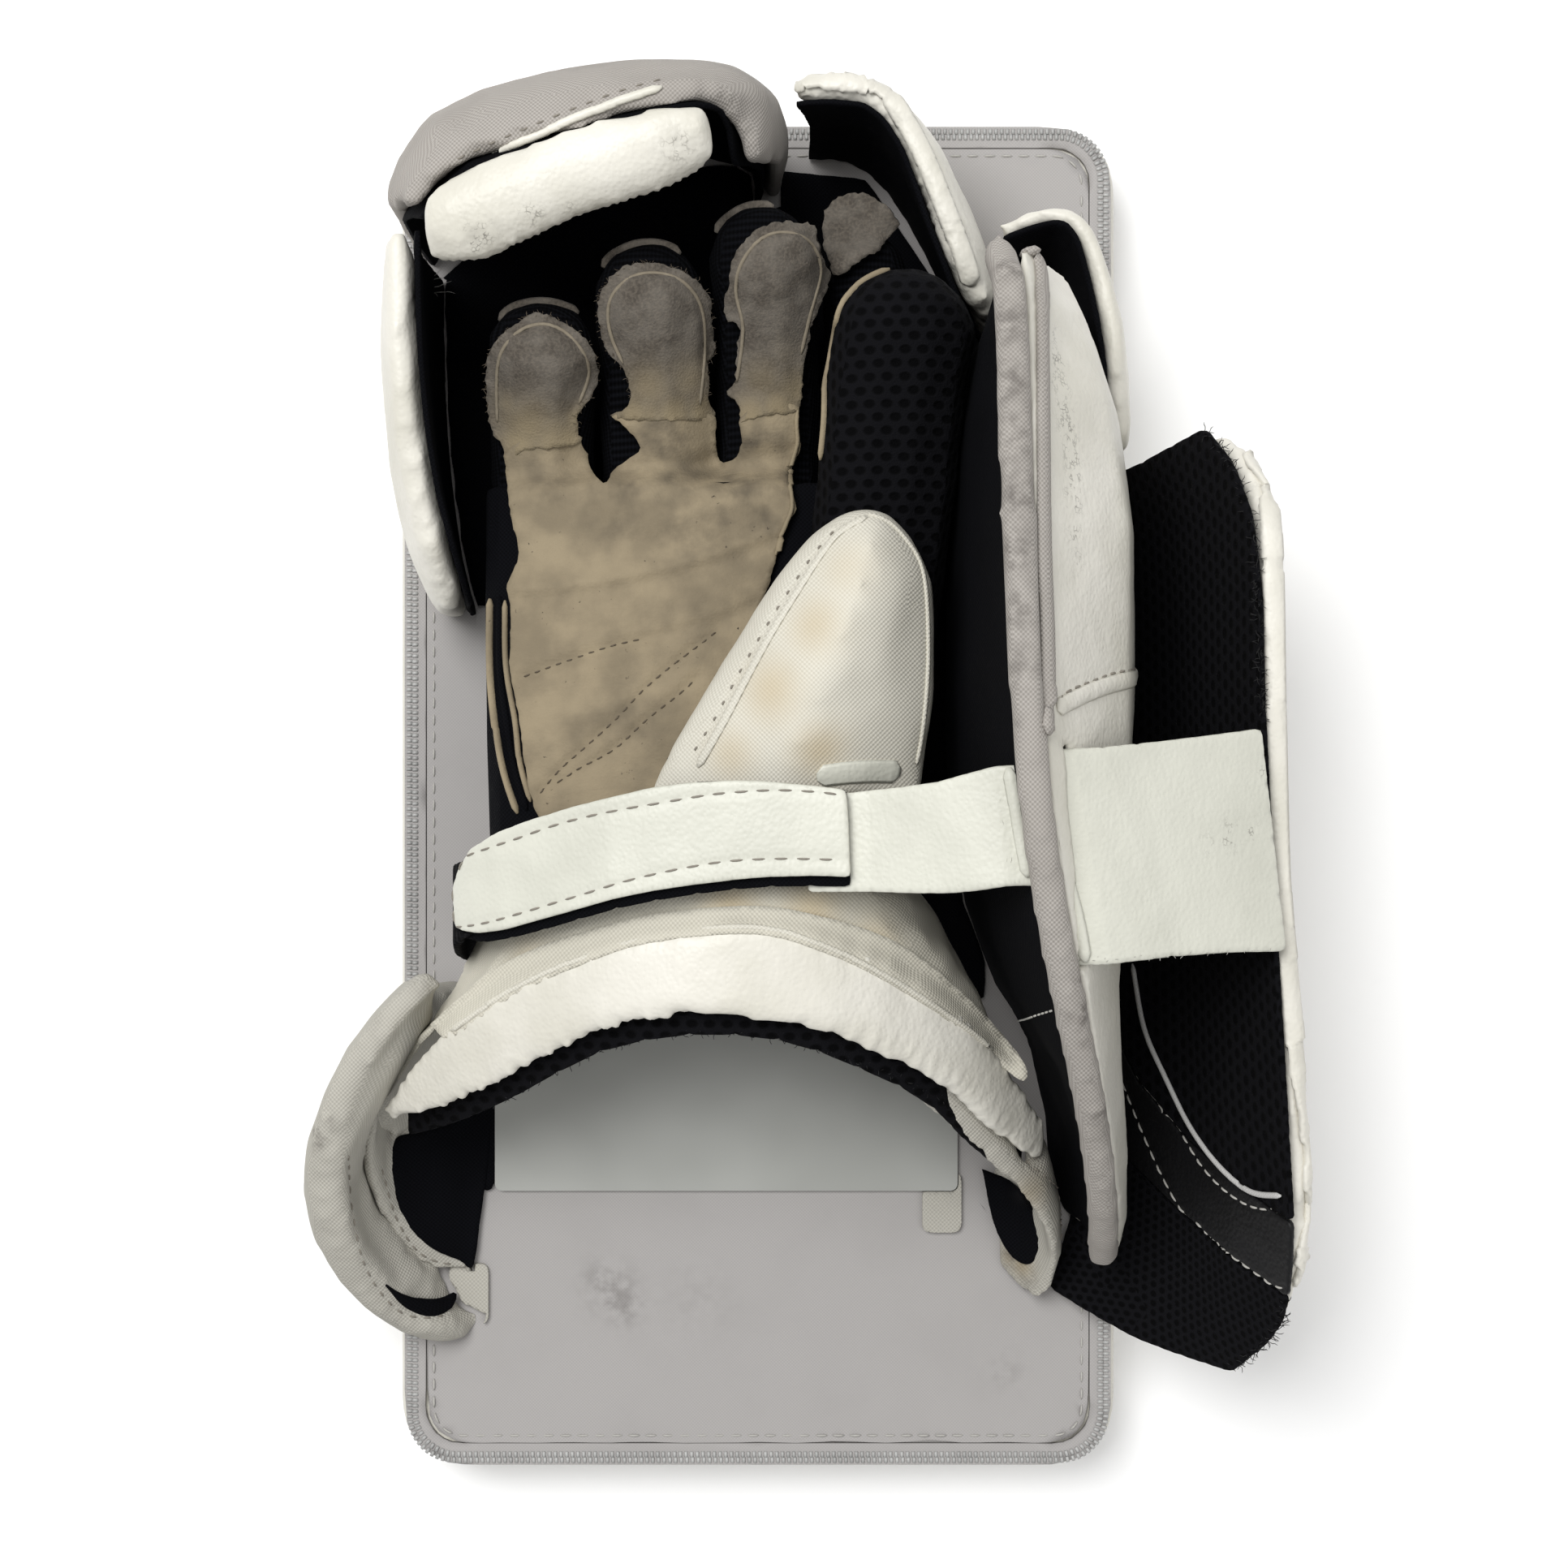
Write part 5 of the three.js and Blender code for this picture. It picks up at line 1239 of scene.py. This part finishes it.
trim("bar_piping", ("fingertip_bar_soft", "fingertip_hood_soft"),
    [(560, 208), (615, 184), (665, 164), (715, 143), (765, 124), (820, 107)],
     1.1, 0.9, 0.5, white_leather)
trim("guard_binding", ("thumb_guard_soft",),
    [(860, 945), (890, 893), (918, 840), (952, 778), (982, 730), (1009, 688), (1035, 655), (1070, 636)],
     1.3, 0.45, 0.2, cream_nylon)
trim("guard_right_piping", ("thumb_guard_soft",),
    [(1070, 634), (1094, 642), (1115, 664), (1132, 689), (1140, 724), (1143, 782), (1142, 840),
    (1136, 902), (1128, 945)],
     0.6, 0.5, 0.2, cream_nylon)
trim("guard_tab", ("thumb_guard_soft",), [(1006, 957), (1040, 952), (1080, 950), (1112, 951)],
     3.0, 0.5, 0.3, strap_leather)
trim("shield_inner_strip", ("shield_binding_soft", "shield_leather_soft"),
    [(1273, 300), (1281, 340), (1282, 423), (1283, 560), (1284, 682), (1288, 782), (1289, 906)],
     2.7, 1.3, 0.6, grey_cloth)
trim("shield_hem", ("shield_leather_soft",),
    [(1302, 873), (1325, 861), (1357, 847), (1390, 838), (1416, 831)],
     2.2, 0.7, 0.2, white_leather)
trim("tie_strap_fold", ("tie_strap_soft",), [(1243, 946), (1250, 985), (1258, 1035), (1267, 1083)],
     1.7, 0.9, 0.7, strap_leather)
trim("wide_strap_fold", ("wide_strap_soft",),
    [(1290, 934), (1298, 985), (1312, 1068), (1328, 1130), (1338, 1186)],
     1.7, 0.9, 0.7, strap_leather)
trim("side_wall_piping", ("side_wall_mesh_soft",),
    [(1397, 1187), (1411, 1266), (1436, 1324), (1469, 1390), (1507, 1440), (1544, 1469), (1581, 1473)],
     0.8, 0.6, 0.5, white_nylon)
trim("palm_edge_left", ("palm_hide", "hand_back", "palm_panel"),
    [(623, 740), (624, 820), (636, 890), (641, 940), (655, 990)],
     0.8, 0.8, 0.3, palm_leather)
trim("palm_edge_left_dark", ("palm_hide", "hand_back", "palm_panel"),
    [(616, 735), (616, 820), (625, 890), (634, 945), (650, 1000)],
     0.9, 0.9, 0.1, black_nylon)
trim("palm_edge_left_outer", ("hand_back", "palm_panel"),
    [(606, 738), (606, 820), (612, 890), (622, 950), (640, 1004)],
     0.8, 1.2, 0.6, palm_leather)
trim("thumb_edge", ("thumb_sleeve_soft",),
    [(1092, 300), (1056, 316), (1040, 336), (1030, 360), (1024, 390), (1020, 430), (1018, 470),
    (1017, 520), (1012, 570)],
     0.7, 0.9, 0.4, palm_leather)
trim("palm_edge_thumb", ("palm_hide",), [(983, 505), (980, 525), (984, 546), (972, 585), (977, 626),
    (965, 650), (955, 688)], 0.6, 0.9, 0.3, palm_leather)
trim("side_wall_rim", ("side_wall_soft", "side_wall_mesh_soft"),
    [(1548, 556), (1560, 600), (1567, 680), (1569, 780), (1571, 900), (1576, 1080), (1590, 1240),
     (1600, 1350), (1610, 1450), (1613, 1540), (1604, 1590)], 3.0, 1.2, 0.5, white_leather)
trim("index_wall_rim", ("index_side_wall_soft", "index_side_wall_lining_soft"),
    [(900, 112), (937, 103), (1010, 101), (1060, 104), (1092, 116), (1116, 150), (1140, 196),
     (1162, 250), (1188, 318), (1198, 352)], 2.8, 1.2, 0.4, white_leather)
trim("cuff_seam", ("cuff_pad_soft", "cuff_gusset_soft"),
    [(557, 1270), (632, 1220), (723, 1178), (806, 1153), (930, 1143), (1016, 1166), (1099, 1207),
    (1182, 1261), (1240, 1307)],
     0.8, 0.8, 0.2, cream_nylon)
for finger, marks in (
    ("little", [(613, 520), (612, 470), (618, 432), (645, 404), (680, 400), (712, 424), (726, 458),
        (712, 500)]),
    ("ring", [(768, 448), (752, 412), (750, 372), (772, 344), (800, 336), (838, 344), (864, 378),
        (868, 436), (862, 500)]),
    ("middle", [(908, 470), (916, 402), (906, 360), (914, 322), (940, 292), (972, 286), (1000, 300),
        (1012, 332), (1000, 380), (986, 440)]),
):
    trim("finger_seam_" + finger, ("finger_patch_" + finger,), marks, 0.5, 0.35, 0.15, seam_suede)
for finger, marks in (
    ("little", [(613, 394), (615, 377), (636, 355), (661, 342), (686, 342), (711, 357), (725, 382)]),
    ("ring", [(718, 318), (721, 298), (748, 278), (781, 264), (810, 264), (835, 282), (845, 307)]),
    ("middle", [(842, 270), (848, 249), (872, 226), (901, 216), (930, 222), (947, 232), (955, 251)]),
):
    trim("fingertip_rim_" + finger, ("finger_" + finger,), marks, 0.9, 1.4, 0.2, suede)

# %% [markdown]
# ## Zipper
# The board's cover closes with a coil zipper that runs all round its back edge: two rows of small
# teeth on a tape, and a row of stitches inside. A rounded rectangle gives the way round, and one
# tooth is repeated along it every 1.6 mm.

# %% Zipper teeth and stitches
BOARD_HALF = (101.5, 190.5)
BOARD_TOP = 26.9


def round_the_board(inset, corner, step, height):
    """Places every so many millimetres on a rounded rectangle inside the board's outline."""
    x, y = BOARD_HALF[0] - inset - corner, BOARD_HALF[1] - inset - corner
    corners = [(x, y, 0), (-x, y, 90), (-x, -y, 180), (x, -y, 270)]
    line = [(cx + corner * math.cos(math.radians(start + a)),
        cy + corner * math.sin(math.radians(start + a)))
            for cx, cy, start in corners for a in range(0, 91, 6)]
    line.append(line[0])
    places, left = [], 0.0
    for (ax, ay), (bx, by) in zip(line, line[1:]):
        length = math.hypot(bx - ax, by - ay)
        far = left
        while far < length:
            places.append(Vector((ax + (bx - ax) * far / length, ay + (by - ay) * far / length,
                height)) * MM)
            far += step
        left = far - length
    return places


UP = Vector((0, 0, 1))
parts = []
for row, inset in enumerate((3.4, 5.0)):
    places = round_the_board(inset, 13 - row, 1.6, BOARD_TOP + 0.15)
    for a, b in zip(places, places[1:]):
        ahead = (b - a).normalized()
        side = ahead.cross(UP)
        parts.append(tube_part([a - side * 0.75 * MM, a + side * 0.75 * MM], [UP, UP], [0.5, 0.5],
            [0.4, 0.4], 6))
teeth = piece_from("zipper_teeth", joined_mesh("zipper_teeth", parts))
zipper_plastic, tree, shader = new_material("moulded zipper plastic", Roughness=0.35, IOR=1.5)
soft = stepped(tree, sized(tree, 12, 2), 0.3, 0.7)
tone = blended(tree, soft, "#B6B6B4", "#9E9E9C")
tree.links.new(tone.outputs[2], shader.inputs["Base Color"])
dress(teeth, zipper_plastic, replaces=())
parts = []
places = round_the_board(10.3, 8, 0.8, BOARD_TOP + 0.1)
for start in range(0, len(places) - 4, 6):
    row = [places[start + i] + UP * dip * MM for i, dip in enumerate((-0.2, 0.1, 0.2, 0.1, -0.2))]
    parts.append(tube_part(row, [UP] * 5, [0.16, 0.3, 0.3, 0.3, 0.16], [0.16, 0.3, 0.3, 0.3, 0.16], 5))
seam = piece_from("board_back_stitches", joined_mesh("board_back_stitches", parts))
dress(seam, white_thread, replaces=())

# %% [markdown]
# ## Loose threads
# Cut mesh and torn stitching leave single threads that stick out. Each is a bent hair of three
# pieces. The real ones are about 0.1 mm thick; they are drawn a little thicker so that they show.

# %% Frayed edges


def fray(name, carriers, marks, each, length, material, thick=0.11, seed=1):
    chance = random.Random(seed)
    places, normals = line_on(tree_of(*carriers), marks, each)
    parts = []
    for place, normal in zip(places, normals):
        way = Vector((chance.uniform(-1, 1), chance.uniform(-1, 1),
            chance.uniform(0, 0.8))).normalized()
        row = [place - normal * 0.2 * MM]
        for _ in range(4):
            way = (way + Vector((chance.uniform(-0.6, 0.6), chance.uniform(-0.6, 0.6),
                chance.uniform(-0.4, 0.3)))).normalized()
            row.append(row[-1] + way * length * chance.uniform(0.15, 0.4) * MM)
        parts.append(tube_part(row, [normal] * 5, [thick, thick, thick, thick, thick / 3],
            [thick] * 4 + [thick / 3], 3))
    piece = piece_from(name, joined_mesh(name, parts))
    return dress(piece, material, replaces=())


fray("side_wall_fuzz", ("side_wall_mesh_soft",),
    [(1480, 530), (1508, 524), (1531, 550), (1541, 595), (1548, 699), (1552, 800), (1556, 890)],
     0.5, 2.2, black_thread, seed=2)
fray("bumper_fuzz", ("side_wall_bumper_soft",),
    [(1532, 1690), (1565, 1672), (1594, 1635), (1600, 1600)],
     0.5, 2.4, black_thread, seed=3)
fray("cuff_fuzz", ("cuff_lining_soft",), [(615, 1361), (682, 1336), (765, 1311), (889, 1299),
    (974, 1299), (1057, 1311), (1140, 1344), (1202, 1382)],
     1.0, 1.3, black_thread, seed=4)
fray("corner_threads", ("little_side_wall_soft", "fingertip_bar_soft"),
    [(526, 345), (534, 352), (540, 362)],
     0.35, 7.0, white_thread, seed=5)
fray("strap_fuzz", ("wide_strap_soft",), [(1345, 1184), (1420, 1179), (1500, 1174), (1572, 1166)],
     1.4, 1.0, white_thread, thick=0.08, seed=6)
fray("little_patch_fuzz", ("finger_patch_little",), LITTLE_CUT[3:17], 0.7, 1.2, brown_thread,
    thick=0.07, seed=7)
fray("ring_patch_fuzz", ("finger_patch_ring",), RING_CUT[2:18], 0.7, 1.2, brown_thread,
    thick=0.07, seed=8)

# %% [markdown]
# ## Wear, dirt and painted shade
# Dirt gathers where the glove is held, and the coating cracks where it bends. Along the top of the
# palm, under the finger box, the dirt marks also paint the shade that falls there. Each mark is a
# spot on the piece with a radius and a strength; the materials break it up into specks and cracks.

# %% Marks of use and painted shade
mark_spots(pads["fingertip_bar"], "wear",
    [(590, 290, 4, 1), (583, 303, 3, 1), (655, 265, 3.5, 0.9), (835, 180, 4, 0.9), (700, 255, 2, 0.6)])
mark_spots(pads["fingertip_bar"], "dirt_and_shade",
    [(590, 290, 6, 0.35), (835, 180, 6, 0.3), (540, 300, 6, 0.25)])
mark_spots(sheets["shield_leather"], "wear",
    [(1307, 475, 4, 1), (1311, 506, 4, 1), (1316, 533, 4.5, 1), (1321, 560, 4.5, 1), (1324, 590, 4, 1),
           (1323, 616, 4, 1), (1324, 657, 3.5, 0.8), (1303, 444, 4, 1), (1301, 415, 3, 0.7),
           (1328, 690, 3, 0.5)])
mark_spots(pads["index_side_wall"], "wear",
    [(1152, 245, 3, 1), (1160, 265, 3.5, 1), (1170, 290, 3.5, 0.9), (1182, 318, 3.5, 0.8),
    (1190, 340, 3, 0.8)])
mark_spots(pads["index_side_wall"], "dirt_and_shade", [(1155, 255, 5, 0.6), (1175, 300, 6, 0.6)])
mark_spots(sheets["wide_strap"], "wear", [(1515, 1030, 4, 0.8), (1540, 1022, 3, 0.8),
    (1490, 1040, 3, 0.4), (1570, 950, 3, 0.7)])
mark_spots(pads["side_wall"], "wear", [(1565, 600, 3, 0.8), (1580, 700, 3, 0.8), (1595, 1000, 3, 0.5),
    (1590, 1290, 3, 0.7)])
# Marks along the top of the palm, under the finger box, paint shade as well as dirt; the lower ones are
# dirt.
mark_spots(palm, "dirt_and_shade", [(680, 590, 12, 0.6), (760, 600, 12, 0.7), (840, 590, 12, 0.7),
    (910, 600, 12, 0.8), (960, 590, 10, 0.7), (820, 540, 12, 0.9), (930, 540, 12, 0.9),
           (660, 560, 10, 0.6), (880, 650, 14, 0.6), (940, 640, 10, 0.7), (760, 640, 14, 0.5),
           (850, 660, 14, 0.6), (700, 760, 14, 0.25), (780, 880, 16, 0.45), (720, 900, 10, 0.35),
           (900, 640, 10, 0.6), (800, 560, 10, 0.5), (950, 560, 9, 0.6), (930, 520, 8, 0.6),
           (690, 600, 8, 0.3), (860, 760, 12, 0.35)])
# On the suede patches the marks turn the lower ends to the cream of the palm leather that runs on.
mark_spots(patches["little"], "dirt_and_shade", [(640, 545, 8, 1), (700, 545, 8, 1), (715, 520, 6, 0.8),
    (650, 530, 10, 0.9), (680, 545, 10, 0.9), (625, 500, 5, 0.6)])
mark_spots(patches["ring"], "dirt_and_shade", [(780, 512, 7, 1), (830, 512, 7, 1), (865, 508, 7, 1),
    (800, 480, 8, 0.7), (850, 470, 8, 0.6), (800, 490, 9, 0.5), (850, 500, 8, 0.5), (800, 510, 6, 0.8)])
mark_spots(patches["middle"], "dirt_and_shade", [(925, 512, 7, 1), (960, 505, 7, 1), (980, 480, 7, 0.8),
    (940, 470, 7, 0.5), (940, 500, 9, 0.5), (970, 440, 6, 0.2)])
mark_spots(pads["thumb_guard"], "stain", [(1003, 770, 9, 0.45), (950, 850, 10, 0.5),
    (1010, 925, 8, 0.55), (1040, 700, 9, 0.25), (900, 930, 8, 0.4)])
mark_spots(sheets["cuff_gusset"], "stain",
    [(900, 1120, 8, 0.6), (1000, 1120, 8, 0.55), (1080, 1160, 8, 0.4), (650, 1190, 8, 0.3)])
mark_spots(pads["cuff_roll_thumb_side"], "stain",
    [(1270, 1470, 8, 0.5), (1240, 1570, 5, 0.7), (1220, 1560, 4, 0.6)])
mark_spots(pads["cuff_roll_thumb_side"], "dirt_and_shade", [(1225, 1560, 4, 0.7), (1245, 1590, 4, 0.4)])
mark_spots(pads["cuff_roll_outer"], "dirt_and_shade",
    [(389, 1398, 4.5, 1.0), (400, 1380, 4, 0.5), (470, 1270, 5, 0.25), (525, 1220, 5, 0.3),
    (480, 1640, 6, 0.2)])
mark_spots(pads["cuff_roll_inner"], "dirt_and_shade", [(480, 1400, 5, 0.5), (520, 1395, 4, 0.4)])
# The first eight marks darken the binding all along its length beside the shield.
mark_spots(pads["shield_binding"], "dirt_and_shade",
    [(1240, 330, 6, 0.7), (1243, 400, 7, 0.7), (1245, 470, 7, 0.7), (1246, 540, 7, 0.8),
    (1248, 610, 7, 0.8), (1250, 680, 7, 0.7),
           (1252, 750, 7, 0.6), (1256, 820, 7, 0.5), (1330, 1205, 3, 0.9), (1334, 1250, 4, 0.9),
           (1338, 1290, 3, 0.5), (1358, 1372, 4, 0.9), (1365, 1390, 4, 0.8),
           (1350, 1330, 3, 0.6), (1250, 888, 4, 0.5), (1240, 480, 6, 0.25), (1245, 620, 6, 0.25)])
mark_spots(sheets["board_back_panel"], "dirt_and_shade",
    [(755, 1590, 8, 0.5), (770, 1610, 6, 0.5), (740, 1575, 6, 0.4), (860, 1600, 12, 0.12),
    (1240, 1690, 6, 0.2)])
